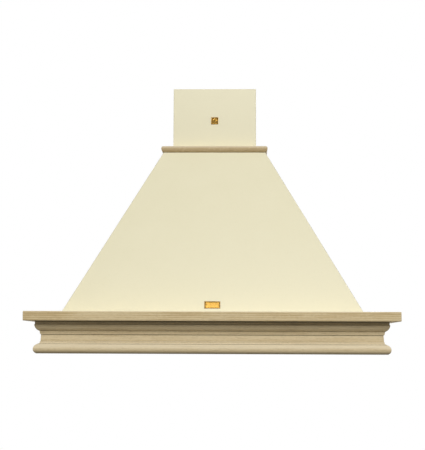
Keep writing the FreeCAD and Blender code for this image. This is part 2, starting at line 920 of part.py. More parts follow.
def filter_mesh():
    """A pad of expanded aluminium: diamond gaps in staggered rows between straight strands."""
    block = filter_mesh_block(mesh_play)
    limits = block.BoundBox
    half_x = mesh_pitch_x / 2 - mesh_strand
    half_y = mesh_pitch_y / 2 - mesh_strand * mesh_pitch_y / mesh_pitch_x
    columns = int((limits.XLength - 2 * mesh_strand) / mesh_pitch_x)
    rows = int((limits.YLength - 2 * mesh_strand) / mesh_pitch_y)
    start_x = limits.Center.x - (columns - 1) * mesh_pitch_x / 2
    start_y = limits.Center.y - (rows - 1) * mesh_pitch_y / 2
    centres = []
    for stagger in (0, 1):
        for i in range(columns - stagger):
            for j in range(rows - stagger):
                x = start_x + (i + stagger / 2) * mesh_pitch_x
                y = start_y + (j + stagger / 2) * mesh_pitch_y
                centres.append((x, y))
    outline = Part.makePolygon(
        [
            Vector(limits.XMin, limits.YMin, limits.ZMin),
            Vector(limits.XMax, limits.YMin, limits.ZMin),
            Vector(limits.XMax, limits.YMax, limits.ZMin),
            Vector(limits.XMin, limits.YMax, limits.ZMin),
            Vector(limits.XMin, limits.YMin, limits.ZMin),
        ]
    )
    gaps = []
    for x, y in centres:
        corners = [(x - half_x, y), (x, y - half_y), (x + half_x, y), (x, y + half_y)]
        points = [Vector(cx, cy, limits.ZMin) for cx, cy in corners]
        gaps.append(Part.makePolygon(points + points[:1]))
    sheet = Part.Face([outline] + gaps, "Part::FaceMakerCheese")
    return sheet.extrude(UP * limits.ZLength)


def grip_front():
    """Where the latch's finger grip starts, measured along the hood's depth."""
    return filter_front + latch_body - grip_thickness


def filter_latch():
    """A flat bolt whose tip lies over the filter panel, with a grip to pull it back by."""
    low = panel_top + latch_play / 2 + latch_play
    bolt = box(
        (filter_middle - latch_width / 2, filter_middle + latch_width / 2),
        (filter_front - latch_reach, filter_front + latch_body),
        (low, low + latch_thickness),
    )
    grip = box(
        (filter_middle - grip_width / 2, filter_middle + grip_width / 2),
        (grip_front(), grip_front() + grip_thickness),
        (panel_bottom - grip_drop, low),
    )
    return bolt.fuse(grip).removeSplitter()


def filter_hinge_brackets():
    """Four ears that stand on the filter panel; each filter's pins drop into their slots."""
    ears = []
    socket = hinge_pin_radius + hinge_play
    for x in (filter_inner - ear_gap - ear_thickness, filter_outer + ear_gap):
        ear = box(
            (x, x + ear_thickness),
            (hinge_y - ear_half_length, hinge_y + ear_half_length),
            (panel_top, panel_top + ear_height),
        )
        through = RIGHT * (ear_thickness + 2 * past)
        ear = ear.cut(rod(socket, Vector(x - past, hinge_y, hinge_z), through))
        ear = ear.cut(
            box(
                (x - past, x + ear_thickness + past),
                (hinge_y - socket, hinge_y + socket),
                (hinge_z, panel_top + ear_height + past),
            )
        )
        ears += [ear, mirrored(ear)]
    return Part.makeCompound(ears)


# ---------------------------------------------------------------- lamps (the right one)


def lamp_axis(level):
    return Vector(lamp_offset, strip_middle, level)


def lamp_bezel():
    """A ring under the panel whose barrel holds the glass."""
    flange_bottom = panel_bottom - lamp_flange_thickness
    inner = lamp_barrel_radius - lamp_barrel_wall
    flange = rod(lamp_flange_radius, lamp_axis(flange_bottom), UP * lamp_flange_thickness)
    rim = [edge for edge in flange.Edges if abs(edge.CenterOfMass.z - flange_bottom) < 0.001]
    flange = flange.makeFillet(lamp_flange_thickness / 2, rim)
    barrel = rod(lamp_barrel_radius, lamp_axis(panel_bottom), UP * lamp_barrel_height)
    seat = panel_bottom + lamp_lip_height
    mouth = rod(inner - lamp_lip, lamp_axis(flange_bottom - past), UP * (lamp_barrel_height))
    bore = rod(inner, lamp_axis(seat), UP * lamp_barrel_height)
    return flange.fuse(barrel).cut(mouth).cut(bore).removeSplitter()


def lamp_lens():
    radius = lamp_barrel_radius - lamp_barrel_wall - lens_play
    return rod(radius, lamp_axis(panel_bottom + lamp_lip_height), UP * lens_thickness)


def lamp_housing():
    """A cup pushed over the barrel; it holds the lamp above the glass."""
    barrel_top = panel_bottom + lamp_barrel_height
    skirt = barrel_top - lamp_cup_skirt
    top = barrel_top + lamp_cup_height
    socket = lamp_barrel_radius + lamp_cup_play
    outer = socket + lamp_cup_wall
    cup = rod(outer, lamp_axis(skirt), UP * (top - skirt))
    cup = cup.cut(rod(socket, lamp_axis(skirt), UP * lamp_cup_skirt))
    inside = lamp_barrel_radius - lamp_barrel_wall
    return cup.cut(rod(inside, lamp_axis(skirt), UP * (top - skirt - lamp_cup_wall)))


# ---------------------------------------------------------------- push buttons


def button_xs():
    return spread(button_count, -button_row_half, button_row_half)


def block_at(x, half_width, half_depth, z):
    """A block centred on a place along the row of buttons."""
    return box(
        (x - half_width, x + half_width), (strip_middle - half_depth, strip_middle + half_depth), z
    )


def control_bezel():
    """The plate round the four buttons, under the filter panel."""
    z = (panel_bottom - bezel_thickness, panel_bottom)
    plate = block_at(0, bezel_half, bezel_half_depth, z)
    rim = [edge for edge in plate.Edges if abs(edge.CenterOfMass.z - z[0]) < 0.001]
    plate = plate.makeFillet(bezel_thickness / 2, rim)
    for x in button_xs():
        plate = plate.cut(
            block_at(
                x,
                button_width / 2 + button_play,
                button_depth / 2 + button_play,
                (z[0] - past, z[1] + past),
            )
        )
    return plate


def button(x):
    """A cap with a shoulder that keeps it in the bezel and a stem that works the switch."""
    face = panel_bottom - bezel_thickness - button_drop
    shoulder = panel_bottom + button_rest_gap
    stem = shoulder + button_shoulder_height
    cap = block_at(x, button_width / 2, button_depth / 2, (face, shoulder))
    rim = [edge for edge in cap.Edges if abs(edge.CenterOfMass.z - face) < 0.001]
    cap = cap.makeFillet(button_drop / 4, rim)
    collar = block_at(
        x,
        button_width / 2 + button_shoulder,
        button_depth / 2 + button_shoulder,
        (shoulder, stem),
    )
    post = block_at(x, button_stem / 2, button_stem / 2, (stem, stem + button_stem_length))
    return cap.fuse(collar).fuse(post).removeSplitter()


def control_switch_box():
    """The switch block over the buttons, with a pocket for each stem."""
    half = button_slot_half + switch_box_wall
    half_depth = button_slot_half_depth + switch_box_wall
    switches = block_at(0, half, half_depth, (panel_top, panel_top + switch_box_height))
    switches = switches.cut(
        block_at(0, button_slot_half, button_slot_half_depth, (panel_top - past, chamber_top))
    )
    stem_half = button_stem / 2 + stem_play
    shoulder_top = panel_bottom + button_rest_gap + button_shoulder_height
    pocket_top = shoulder_top + button_stem_length + button_travel + chamber_play
    for x in button_xs():
        switches = switches.cut(block_at(x, stem_half, stem_half, (chamber_top - past, pocket_top)))
    return switches


# ---------------------------------------------------------------- blower


def quarter(centre, radius, start_angle):
    """A quarter turn of the scroll, in the plane of y and z, from start_angle onwards."""
    points = []
    for turn in (0, 45, 90):
        angle = math.radians(start_angle + turn)
        points.append(centre + Vector(0, math.cos(angle), math.sin(angle)) * radius)
    return Part.Arc(*points).toShape(), points[0], points[-1]


def scroll(grow, x, top):
    """The scroll's outline as a solid: three widening quarter turns and a straight outlet."""
    centre = Vector(x[0], blower_y, blower_height)
    radius = scroll_start_radius + grow
    edges = []
    ends = []
    shifts = (Vector(0, 0, 0), Vector(0, scroll_growth, 0), UP * scroll_growth)
    for start_angle, shift in zip((90, 180, 270), shifts):
        centre = centre + shift
        if edges:
            radius += scroll_growth
        edge, start, end = quarter(centre, radius, start_angle)
        edges.append(edge)
        ends += [start, end]
    edges.append(Part.makeLine(ends[-1], ends[0]))
    body = Part.Face(Part.Wire(Part.__sortEdges__(edges))).extrude(RIGHT * (x[1] - x[0]))
    outlet = box(x, (blower_y - grow, ends[-1].y), (blower_height, top))
    return body.fuse(outlet).removeSplitter()


def blower_housing():
    """The right-hand half of the scroll housing, split on the hood's middle."""
    outer_half = scroll_half_width + scroll_wall
    shell = scroll(scroll_wall, (0, outer_half), scroll_top)
    rear = blower_y + scroll_rear_reach + scroll_wall
    flange = box(
        (0, outer_half + scroll_flange),
        (blower_y - scroll_wall - scroll_flange, rear + scroll_flange),
        (scroll_top - scroll_wall, scroll_top),
    )
    inside = scroll(0.0, (-past, scroll_half_width), scroll_top + past)
    centre = Vector(0, blower_y, blower_height)
    inlet = rod(inlet_radius, centre, RIGHT * (outer_half + past))
    return shell.fuse(flange).cut(inside).cut(inlet).removeSplitter()


def turned_about_axle(shape, degrees):
    """The shape turned round the blower's axle."""
    shape = shape.copy()
    shape.rotate(Vector(0, blower_y, blower_height), RIGHT, degrees)
    return shape


def impeller():
    """A double-inlet drum wheel: leaning blades between two rings, on a disc with a hub."""
    half = impeller_length / 2
    inner = impeller_radius - impeller_ring_width
    middle = Vector(0, blower_y, blower_height)
    blade = box(
        (-half, half),
        (blower_y - blade_thickness / 2, blower_y + blade_thickness / 2),
        (blower_height + inner + blade_bite, blower_height + impeller_radius - blade_bite),
    )
    blade.rotate(Vector(0, blower_y, blower_height + inner + blade_bite), RIGHT, blade_lean)
    blades = [turned_about_axle(blade, 360 * i / blade_count) for i in range(blade_count)]
    disc_start = middle - RIGHT * (hub_disc_thickness / 2)
    disc = rod(inner + hub_disc_bite, disc_start, RIGHT * hub_disc_thickness)
    hub = rod(hub_radius, middle - RIGHT * hub_half_length, RIGHT * (2 * hub_half_length))
    rings = []
    for x in (-half, half - impeller_ring_thickness):
        start = Vector(x, blower_y, blower_height)
        rings.append(tube(impeller_radius, inner, start, RIGHT * impeller_ring_thickness))
    wheel = disc.multiFuse([hub] + rings + blades)
    bore = rod(
        shaft_radius, middle - RIGHT * (hub_half_length + past), RIGHT * (hub_half_length * 2 + 2 * past)
    )
    return wheel.cut(bore).removeSplitter()


def motor_shaft():
    start = Vector(-shaft_tail, blower_y, blower_height)
    return rod(shaft_radius, start, RIGHT * (shaft_tail + motor_start + shaft_in_motor))


def motor():
    """A round motor that reaches into the wheel from the right, with a bore for its shaft."""
    start = Vector(motor_start, blower_y, blower_height)
    body = rod(motor_radius, start, RIGHT * (motor_end - motor_start))
    bore_length = shaft_in_motor + shaft_end_gap
    return body.cut(rod(shaft_radius + shaft_play, start, RIGHT * bore_length))


def motor_bracket():
    """A disc behind the motor with three arms that reach over the inlet's rim."""
    start = Vector(motor_end, blower_y, blower_height)
    plate = rod(motor_radius + motor_bracket_rim, start, RIGHT * motor_bracket_sheet)
    arm = box(
        (motor_end, motor_end + motor_bracket_sheet),
        (blower_y - arm_width / 2, blower_y + arm_width / 2),
        (blower_height, blower_height + inlet_radius + arm_overlap),
    )
    arms = [turned_about_axle(arm, 360 * i / arm_count) for i in range(arm_count)]
    return plate.multiFuse(arms).removeSplitter()


# ---------------------------------------------------------------- duct outlet


def duct_axis(level):
    return Vector(0, spigot_y, level)


def outlet_spigot():
    """The round outlet that the duct slips over, with a ledge that stops the flaps."""
    inner = duct_radius - spigot_wall
    flange = rod(spigot_flange_radius, duct_axis(scroll_top), UP * spigot_flange_thickness)
    top = canopy_top + spigot_height
    neck = rod(duct_radius, duct_axis(scroll_top), UP * (top - scroll_top))
    bore = rod(inner, duct_axis(scroll_top - past), UP * (top - scroll_top + 2 * past))
    ledge_top = flap_z - flap_thickness / 2 - flap_ledge_gap
    ledge = tube(
        inner + spigot_wall / 2,
        inner - flap_ledge,
        duct_axis(ledge_top - flap_ledge_height),
        UP * flap_ledge_height,
    )
    pin_hole = rod(
        flap_pin_radius + flap_pin_play,
        Vector(-inner - flap_pin_bite, spigot_y, flap_z),
        RIGHT * (2 * (inner + flap_pin_bite)),
    )
    return flange.fuse(neck).cut(bore).fuse(ledge).cut(pin_hole).removeSplitter()


def damper_pin():
    reach = duct_radius - spigot_wall + flap_pin_bite
    return rod(flap_pin_radius, Vector(-reach, spigot_y, flap_z), RIGHT * (2 * reach))


def damper_flap(side):
    """A half disc hung on the pin by two knuckles; side is -1 for the front, 1 for the rear."""
    radius = duct_radius - spigot_wall - flap_edge_play
    bottom = flap_z - flap_thickness / 2
    disc = rod(radius, duct_axis(bottom), UP * flap_thickness)
    start = flap_knuckle_radius + flap_hinge_gap
    half = box(
        (-duct_radius, duct_radius),
        sorted((spigot_y + side * start, spigot_y + side * duct_radius)),
        (bottom, bottom + flap_thickness),
    )
    flap = disc.common(half)
    first = -side * flap_knuckle_pitch / 2
    for x in (first, first + side * 2 * flap_knuckle_pitch):
        low = x - flap_knuckle_length / 2
        knuckle = rod(
            flap_knuckle_radius, Vector(low, spigot_y, flap_z), RIGHT * flap_knuckle_length
        )
        web = box(
            (low, low + flap_knuckle_length),
            sorted((spigot_y, spigot_y + side * (start + past))),
            (bottom, bottom + flap_thickness),
        )
        flap = flap.fuse(knuckle).fuse(web)
    pin_space = rod(
        flap_pin_radius + flap_knuckle_play,
        Vector(-duct_radius, spigot_y, flap_z),
        RIGHT * (2 * duct_radius),
    )
    return flap.cut(pin_space).removeSplitter()


# ---------------------------------------------------------------- wiring box and cable gland


def terminal_box():
    """An open box on the back panel's inner face."""
    x = (terminal_box_offset, terminal_box_offset + terminal_box_width)
    z = (terminal_box_level, terminal_box_level + terminal_box_height)
    front = -back_sheet - terminal_box_depth
    wall = terminal_box_wall
    shell = box(x, (front, -back_sheet), z)
    inside = box(
        (x[0] + wall, x[1] - wall), (front - past, -back_sheet - wall), (z[0] + wall, z[1] - wall)
    )
    return shell.cut(inside)


def terminal_box_lid():
    front = -back_sheet - terminal_box_depth
    lid = box(
        (terminal_box_offset, terminal_box_offset + terminal_box_width),
        (front - terminal_lid_thickness, front),
        (terminal_box_level, terminal_box_level + terminal_box_height),
    )
    rim = [
        edge
        for edge in lid.Edges
        if abs(edge.CenterOfMass.y - front + terminal_lid_thickness) < 0.001
    ]
    return lid.makeFillet(terminal_lid_thickness / 2, rim)


def hexagon(radius, level, height):
    """A six-sided nut round the gland's axis."""
    points = []
    for i in range(6):
        angle = math.radians(60 * i)
        offset = Vector(math.cos(angle), math.sin(angle), 0) * radius
        points.append(Vector(gland_offset, -gland_from_wall, level) + offset)
    return prism(points, UP * height)


def cable_gland():
    """Where the mains cable goes in, screwed through the top plate beside the duct."""
    stem_bottom = top_plate_bottom - gland_nut_height - gland_tail
    dome_bottom = canopy_top + gland_collar_height
    dome_top = dome_bottom + gland_dome_height

    def axis(level):
        return Vector(gland_offset, -gland_from_wall, level)

    stem = rod(gland_stem_radius, axis(stem_bottom), UP * (dome_bottom - stem_bottom))
    nut = hexagon(gland_hex_radius, top_plate_bottom - gland_nut_height, gland_nut_height)
    collar = hexagon(gland_hex_radius, canopy_top, gland_collar_height)
    dome = rod(gland_dome_radius, axis(dome_bottom), UP * gland_dome_height)
    crown = [edge for edge in dome.Edges if abs(edge.CenterOfMass.z - dome_top) < 0.001]
    dome = dome.makeFillet((gland_dome_radius - cable_radius) / 2, crown)
    gland = stem.multiFuse([nut, collar, dome])
    bore = rod(cable_radius, axis(stem_bottom - past), UP * (dome_top - stem_bottom + 2 * past))
    return gland.cut(bore).removeSplitter()


# ---------------------------------------------------------------- brass trim


def chimney_badge():
    """A plain square badge with a round boss, on the chimney's front."""
    middle = Vector(0, chimney_front, collar_top + badge_level)
    half = badge_size / 2
    plate = box(
        (-half, half),
        (chimney_front - badge_thickness, chimney_front),
        (middle.z - half, middle.z + half),
    )
    rim = [
        edge
        for edge in plate.Edges
        if abs(edge.CenterOfMass.y - chimney_front + badge_thickness) < 0.001
    ]
    plate = plate.makeFillet(badge_thickness / 2, rim)
    boss = Part.makeCone(
        badge_boss_radius,
        badge_boss_radius - badge_boss_rise,
        badge_thickness + badge_boss_rise,
        middle,
        FORWARD,
    )
    return plate.fuse(boss).removeSplitter()


def name_plate():
    """A bare brass plate with a raised border, flat on the canopy's slope."""
    half, half_height = name_plate_width / 2, name_plate_height / 2
    plate = box((-half, half), (-name_plate_thickness, 0), (-half_height, half_height))
    inner, inner_height = half - name_plate_border, half_height - name_plate_border
    field = box(
        (-inner, inner),
        (-name_plate_thickness - past, name_plate_sink - name_plate_thickness),
        (-inner_height, inner_height),
    )
    plate = plate.cut(field)
    lean = math.degrees(math.atan(canopy_front_slope))
    plate.rotate(Vector(0, 0, 0), RIGHT, -lean)
    level = shelf_top + name_plate_level
    plate.translate(Vector(0, canopy_section(level)[1], level))
    return plate


# ---------------------------------------------------------------- the assembly


def assembly():
    """Every piece under the name that a fitter would call it."""
    pieces = {}
    sides = ("front_board", "left_board", "right_board")
    for side, piece in zip(sides, shelf_boards()):
        pieces["shelf_" + side] = piece
    for side, piece in zip(("front", "left", "right"), crown_mouldings()):
        pieces["crown_" + side + "_moulding"] = piece
    pieces["crown_corner_blocks"] = crown_corner_blocks()
    for side, piece in zip(("front", "left", "right"), collar_strips()):
        pieces["collar_" + side + "_strip"] = piece
    for side, piece in zip(("front", "left", "right"), canopy_panels()):
        pieces["canopy_" + side + "_panel"] = piece
    pieces["canopy_top_plate"] = canopy_top_plate()
    pieces["chimney_cover"] = chimney_cover()
    pieces["chimney_extension"] = chimney_extension()
    pieces["chimney_wall_bracket"] = chimney_wall_bracket()
    pieces["base_front_rail"] = base_front_rail()
    pieces["base_rear_rail"] = base_rear_rail()
    pieces["back_panel"] = back_panel()
    pieces["underside_panel"] = underside_panel()
    in_pairs = {
        "base_{}_rail": base_right_rail(),
        "filter_frame_{}": filter_frame(),
        "filter_mesh_{}": filter_mesh(),
        "filter_latch_{}": filter_latch(),
        "lamp_bezel_{}": lamp_bezel(),
        "lamp_lens_{}": lamp_lens(),
        "lamp_housing_{}": lamp_housing(),
        "blower_housing_{}": blower_housing(),
    }
    for name, right in in_pairs.items():
        pieces[name.format("right")] = right
        pieces[name.format("left")] = mirrored(right)
    pieces["filter_hinge_brackets"] = filter_hinge_brackets()
    pieces["control_bezel"] = control_bezel()
    pieces["control_switch_box"] = control_switch_box()
    button_names = ("light", "speed_low", "speed_medium", "speed_high")
    for name, x in zip(button_names, button_xs()):
        pieces["button_" + name] = button(x)
    pieces["impeller"] = impeller()
    pieces["motor_shaft"] = motor_shaft()
    pieces["motor"] = motor()
    pieces["motor_bracket"] = motor_bracket()
    pieces["outlet_spigot"] = outlet_spigot()
    pieces["damper_pin"] = damper_pin()
    pieces["damper_flap_front"] = damper_flap(-1)
    pieces["damper_flap_rear"] = damper_flap(1)
    pieces["terminal_box"] = terminal_box()
    pieces["terminal_box_lid"] = terminal_box_lid()
    pieces["cable_gland"] = cable_gland()
    pieces["chimney_badge"] = chimney_badge()
    pieces["name_plate"] = name_plate()
    pieces["wood_screws"] = wood_screws()
    pieces["underside_screws"] = underside_screws()
    return pieces


def save(name, piece):
    """Write one piece, as a single solid or as a group of separate ones."""
    solids = piece.Solids
    shape = solids[0] if len(solids) == 1 else Part.makeCompound(solids)
    shape.exportStep(os.path.join("parts", name + ".step"))
    state = "sound" if shape.isValid() else "NOT SOUND"
    print(f"{name:24} {len(solids):3d} solids {shape.Volume / 1000:10.2f} cm3  {state}")


os.makedirs("parts", exist_ok=True)
for piece_name, piece_shape in assembly().items():
    save(piece_name, piece_shape)
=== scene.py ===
# %% [markdown]
# # Finishing a country chimney hood
# The hood arrives as some sixty pieces of sheet metal, wood and plastic at their real size. This
# file gives every piece the surface that it has on the real hood, and rebuilds the few small ones
# whose beauty is in their detail. No piece is moved or resized. Everything is in metres: the wall
# is the plane y = 0, the hood hangs in front of it at y < 0, x runs to the right and z upwards.

# %% Load the hood
import json
import math

import bmesh
import bpy
from mathutils import Matrix, Vector


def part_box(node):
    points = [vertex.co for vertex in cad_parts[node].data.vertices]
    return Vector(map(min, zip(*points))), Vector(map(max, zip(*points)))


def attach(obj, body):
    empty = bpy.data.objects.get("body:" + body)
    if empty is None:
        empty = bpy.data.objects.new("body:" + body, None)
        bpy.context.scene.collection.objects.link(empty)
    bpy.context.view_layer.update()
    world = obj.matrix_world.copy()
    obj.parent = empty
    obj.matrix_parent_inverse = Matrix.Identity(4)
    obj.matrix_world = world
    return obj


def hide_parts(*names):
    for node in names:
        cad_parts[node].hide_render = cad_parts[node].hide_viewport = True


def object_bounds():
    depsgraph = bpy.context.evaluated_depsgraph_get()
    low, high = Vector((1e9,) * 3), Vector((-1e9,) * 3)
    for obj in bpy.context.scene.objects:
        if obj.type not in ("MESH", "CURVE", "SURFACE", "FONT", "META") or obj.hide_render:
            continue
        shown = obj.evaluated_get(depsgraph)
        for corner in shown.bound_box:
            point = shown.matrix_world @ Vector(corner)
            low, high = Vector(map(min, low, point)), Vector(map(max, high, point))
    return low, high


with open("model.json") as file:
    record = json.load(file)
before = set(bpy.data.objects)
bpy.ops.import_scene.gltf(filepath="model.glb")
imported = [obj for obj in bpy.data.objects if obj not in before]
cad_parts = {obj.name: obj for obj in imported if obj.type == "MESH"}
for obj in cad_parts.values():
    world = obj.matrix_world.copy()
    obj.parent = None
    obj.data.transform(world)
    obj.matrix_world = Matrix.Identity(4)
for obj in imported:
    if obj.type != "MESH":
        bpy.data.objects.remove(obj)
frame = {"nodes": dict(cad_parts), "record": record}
nodes = frame["nodes"]
body_of_node = {}
for body, names in frame["record"]["behaviour"]["bodies"].items():
    body_of_node.update({name: body for name in names})
cad_low, cad_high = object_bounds()
mm = 0.001
print("hood:", len(nodes), "nodes,", [round(side / mm) for side in cad_high - cad_low], "mm")

# %% [markdown]
# ## The camera
# The picture was taken from 2.6 m in front of the shelf, almost level with the crown's lower edge
# and tilted up a few degrees, so the shelf's underside just shows. The long lens that frames the
# hood from there keeps its upright lines nearly parallel. The lens follows from the frame's longer
# side and the focal length, both in pixels, which is how perspective is measured in a picture.

# %% Place the camera
picture_width = 425
picture_height = 450
focal_pixels = 1104.2
camera_place = Vector((0.0699, -3.1264, 0.0215))
camera_turn = math.radians(-1.479)
camera_tilt = math.radians(6.204)
camera_roll = math.radians(0.217)


def camera_axes(turn, tilt, roll):
    """The directions to the camera's right, up and back."""
    ahead = Vector((math.sin(turn) * math.cos(tilt), math.cos(turn) * math.cos(tilt), math.sin(tilt)))
    level_right = ahead.cross(Vector((0, 0, 1))).normalized()
    level_up = level_right.cross(ahead)
    right = level_right * math.cos(roll) + level_up * math.sin(roll)
    up = level_up * math.cos(roll) - level_right * math.sin(roll)
    return right, up, -ahead


scene = bpy.context.scene
camera = bpy.data.objects.new("camera", bpy.data.cameras.new("camera"))
scene.collection.objects.link(camera)
camera.data.lens = focal_pixels / max(picture_width, picture_height) * camera.data.sensor_width
camera_facing = Matrix(camera_axes(camera_turn, camera_tilt, camera_roll)).transposed().to_4x4()
camera.matrix_world = Matrix.Translation(camera_place) @ camera_facing
scene.camera = camera
scene.view_settings.view_transform = "Standard"
print("lens", round(camera.data.lens, 2), "mm")

# %% [markdown]
# ## Node trees
# Materials and generated shapes are both node trees. One small function adds a node, sets its
# properties and fills its inputs, each with a value or with the socket that feeds it. A colour is
# written as the sRGB hex value seen on a screen, and one function turns it into linear light.

# %% Helpers for node trees


def linear(colour):
    """An sRGB hex colour as linear red, green, blue and alpha."""
    shares = [int(colour[i : i + 2], 16) / 255 for i in (1, 3, 5)]
    return [s / 12.92 if s <= 0.04045 else ((s + 0.055) / 1.055) ** 2.4 for s in shares] + [1.0]


def find_socket(sockets, key):
    """A socket by its number, its identifier or its name."""
    if isinstance(key, int):
        return sockets[key]
    named = [socket for socket in sockets if socket.identifier == key]
    return named[0] if named else sockets[key]


def add(tree, kind, inputs=None, stops=None, **settings):
    """One node with its settings, its inputs and, on a colour ramp, its stops."""
    node = tree.nodes.new(kind)
    for name, value in settings.items():
        setattr(node, name, value)
    for key, value in (inputs or {}).items():
        socket = find_socket(node.inputs, key)
        if isinstance(value, bpy.types.NodeSocket):
            tree.links.new(value, socket)
        else:
            socket.default_value = value
    for number, (place, colour) in enumerate(stops or []):
        ramp = node.color_ramp.elements
        element = ramp[number] if number < len(ramp) else ramp.new(place)
        element.position = place
        element.color = linear(colour)
    return node


# %% [markdown]
# ## The room
# A plain studio: a white world, a large soft lamp above and in front, a weaker one from each side
# and one behind, so that no side of the hood is lost. The world looks pure white to the camera, to
# gloss and through glass, but lights the hood only faintly, and twice as much from straight above
# as from straight below. The hood hangs high on a wall, so no floor is near enough to show.

# %% Light the room
light_from_below = 0.10
light_from_above = 0.20
hood_middle = (cad_low + cad_high) / 2

world = bpy.data.worlds.new("studio")
world.use_nodes = True
scene.world = world
sky = world.node_tree
sky.nodes.clear()
rays = add(sky, "ShaderNodeLightPath")
in_air = {0: rays.outputs["Is Camera Ray"], 1: rays.outputs["Is Glossy Ray"]}
seen_in_air = add(sky, "ShaderNodeMath", in_air).outputs[0]
through_glass = {0: seen_in_air, 1: rays.outputs["Is Transmission Ray"]}
seen = add(sky, "ShaderNodeMath", through_glass, use_clamp=True).outputs[0]
towards = add(sky, "ShaderNodeTexCoord").outputs["Generated"]
upwards = add(sky, "ShaderNodeSeparateXYZ", {0: towards}).outputs["Z"]
by_height = {"Value": upwards, "From Min": -1.0, "To Min": light_from_below, "To Max": light_from_above}
faint = add(sky, "ShaderNodeMapRange", by_height).outputs[0]
strength = add(sky, "ShaderNodeMix", {"Factor_Float": seen, "A_Float": faint, "B_Float": 1.0})
white = add(sky, "ShaderNodeBackground", {"Color": linear("#FFFFFF"), "Strength": strength.outputs[0]})
add(sky, "ShaderNodeOutputWorld", {"Surface": white.outputs[0]})


def soft_lamp(name, place, side, watts):
    """A square soft box that faces the hood's middle."""
    data = bpy.data.lights.new(name, "AREA")
    data.size = side
    data.energy = watts
    lamp = bpy.data.objects.new(name, data)
    scene.collection.objects.link(lamp)
    lamp.location = place
    lamp.rotation_euler = (hood_middle - Vector(place)).to_track_quat("-Z", "Y").to_euler()
    return lamp


lamps = [
    soft_lamp("key_lamp", place=(0.35, -4.85, 2.9), side=2.0, watts=177.0),
    soft_lamp("left_lamp", place=(-3.2, -0.9, 0.9), side=1.6, watts=30.0),
    soft_lamp("right_lamp", place=(3.2, -0.9, 0.9), side=1.6, watts=30.0),
    soft_lamp("back_lamp", place=(0.6, 3.6, 2.2), side=2.0, watts=45.0),
]
print("lamps:", [lamp.name for lamp in lamps])

# %% [markdown]
# ## How a finish is built up
# Nearly every material starts from the same three things: a Principled surface, the piece's own
# coordinates turned to millimetres, so that a pattern can be given its real size, and edges that
# are a little rounder than the drawing's. No sheared, sawn or moulded edge is a perfect corner.
# The Bevel node bends the light over each edge, and where it differs from the true surface we know
# that we're near an edge, which is where paint thins and metal brightens. Noise does the rest. Its
# values lie mostly between 0.3 and 0.7, so that range is stretched over each pair of limits.

# %% Helpers for finishes
noise_low = 0.3
noise_high = 0.7
edge_begins = 0.995  # how well the rounded and the true normal agree, as a cosine
edge_is_full = 0.8


def new_finish(name):
    """An empty material: its tree, its surface and its coordinates in millimetres."""
    material = bpy.data.materials.new(name)
    material.use_nodes = True
    tree = material.node_tree
    tree.nodes.clear()
    surface = add(tree, "ShaderNodeBsdfPrincipled")
    add(tree, "ShaderNodeOutputMaterial", {"Surface": surface.outputs["BSDF"]})
    place = add(tree, "ShaderNodeTexCoord").outputs["Object"]
    scaled = add(tree, "ShaderNodeVectorMath", {0: place, 1: (1 / mm,) * 3}, operation="MULTIPLY")
    return material, tree, surface, scaled.outputs[0]


def grain(tree, place, size, detail=2.0, shift=(0.0, 0.0, 0.0)):
    """Noise whose features have that size in millimetres along x, y and z."""
    stretch = {0: place, 1: [1 / length for length in size], 2: shift}
    stretched = add(tree, "ShaderNodeVectorMath", stretch, operation="MULTIPLY_ADD")
    noise = add(tree, "ShaderNodeTexNoise", {"Vector": stretched.outputs[0], "Scale": 1.0, "Detail": detail})
    return noise.outputs["Fac"]


def span(tree, value, low, high, to_low=0.0, to_high=1.0):
    """A value moved from one range to another, and held inside it."""
    inputs = {"Value": value, "From Min": low, "From Max": high, "To Min": to_low, "To Max": to_high}
    return add(tree, "ShaderNodeMapRange", inputs).outputs[0]


def blend(tree, share, first, second):
    """Two colours mixed, each a hex value or a socket."""
    first, second = [linear(c) if isinstance(c, str) else c for c in (first, second)]
    inputs = {"Factor_Float": share, "A_Color": first, "B_Color": second}
    return find_socket(add(tree, "ShaderNodeMix", inputs, data_type="RGBA").outputs, "Result_Color")


def layer(tree, below, mask, strength, above):
    """A colour with another one over it, up to that strength where the mask is full."""
    return blend(tree, span(tree, mask, 0.0, 1.0, 0.0, strength), below, above)


def drift(tree, noise, low, high):
    """A value that wanders between two limits with a noise."""
    return span(tree, noise, noise_low, noise_high, low, high)


def scaled_sum(tree, value, factor, start):
    """A value times a factor, added to what there is to start with."""
    return add(tree, "ShaderNodeMath", {0: value, 1: factor, 2: start}, operation="MULTIPLY_ADD").outputs[0]


def soft_edges(tree, radius):
    """The normal rounded over at the edges, and how near an edge a point is."""
    rounded = add(tree, "ShaderNodeBevel", {"Radius": radius * mm}, samples=6).outputs[0]
    true_normal = add(tree, "ShaderNodeNewGeometry").outputs["Normal"]
    same = add(tree, "ShaderNodeVectorMath", {0: rounded, 1: true_normal}, operation="DOT_PRODUCT")
    return rounded, span(tree, same.outputs["Value"], edge_begins, edge_is_full)


def bumps(tree, height, depth, normal):
    """A surface raised by up to depth millimetres where height is one."""
    inputs = {"Height": height, "Distance": depth * mm, "Strength": 1.0, "Normal": normal}
    return add(tree, "ShaderNodeBump", inputs).outputs[0]


def connect(tree, surface, **inputs):
    """Feed the surface's inputs. An underscore in a name stands for a space."""
    for name, value in inputs.items():
        socket = surface.inputs[name.replace("_", " ")]
        if isinstance(value, bpy.types.NodeSocket):
            tree.links.new(value, socket)
        else:
            socket.default_value = value


# %% [markdown]
# ## Cream powder coat
# The canopy and the chimney are sheet steel, sprayed with polyester powder and baked. The powder
# melts into a satin film with a faint orange peel, about 2 mm from crest to crest and a hundredth
# of a millimetre deep. Its thickness wanders a little over the sheet, which shows as a mottle, and
# on sharp edges it pulls thin and looks paler.

# %% Mix the powder coat


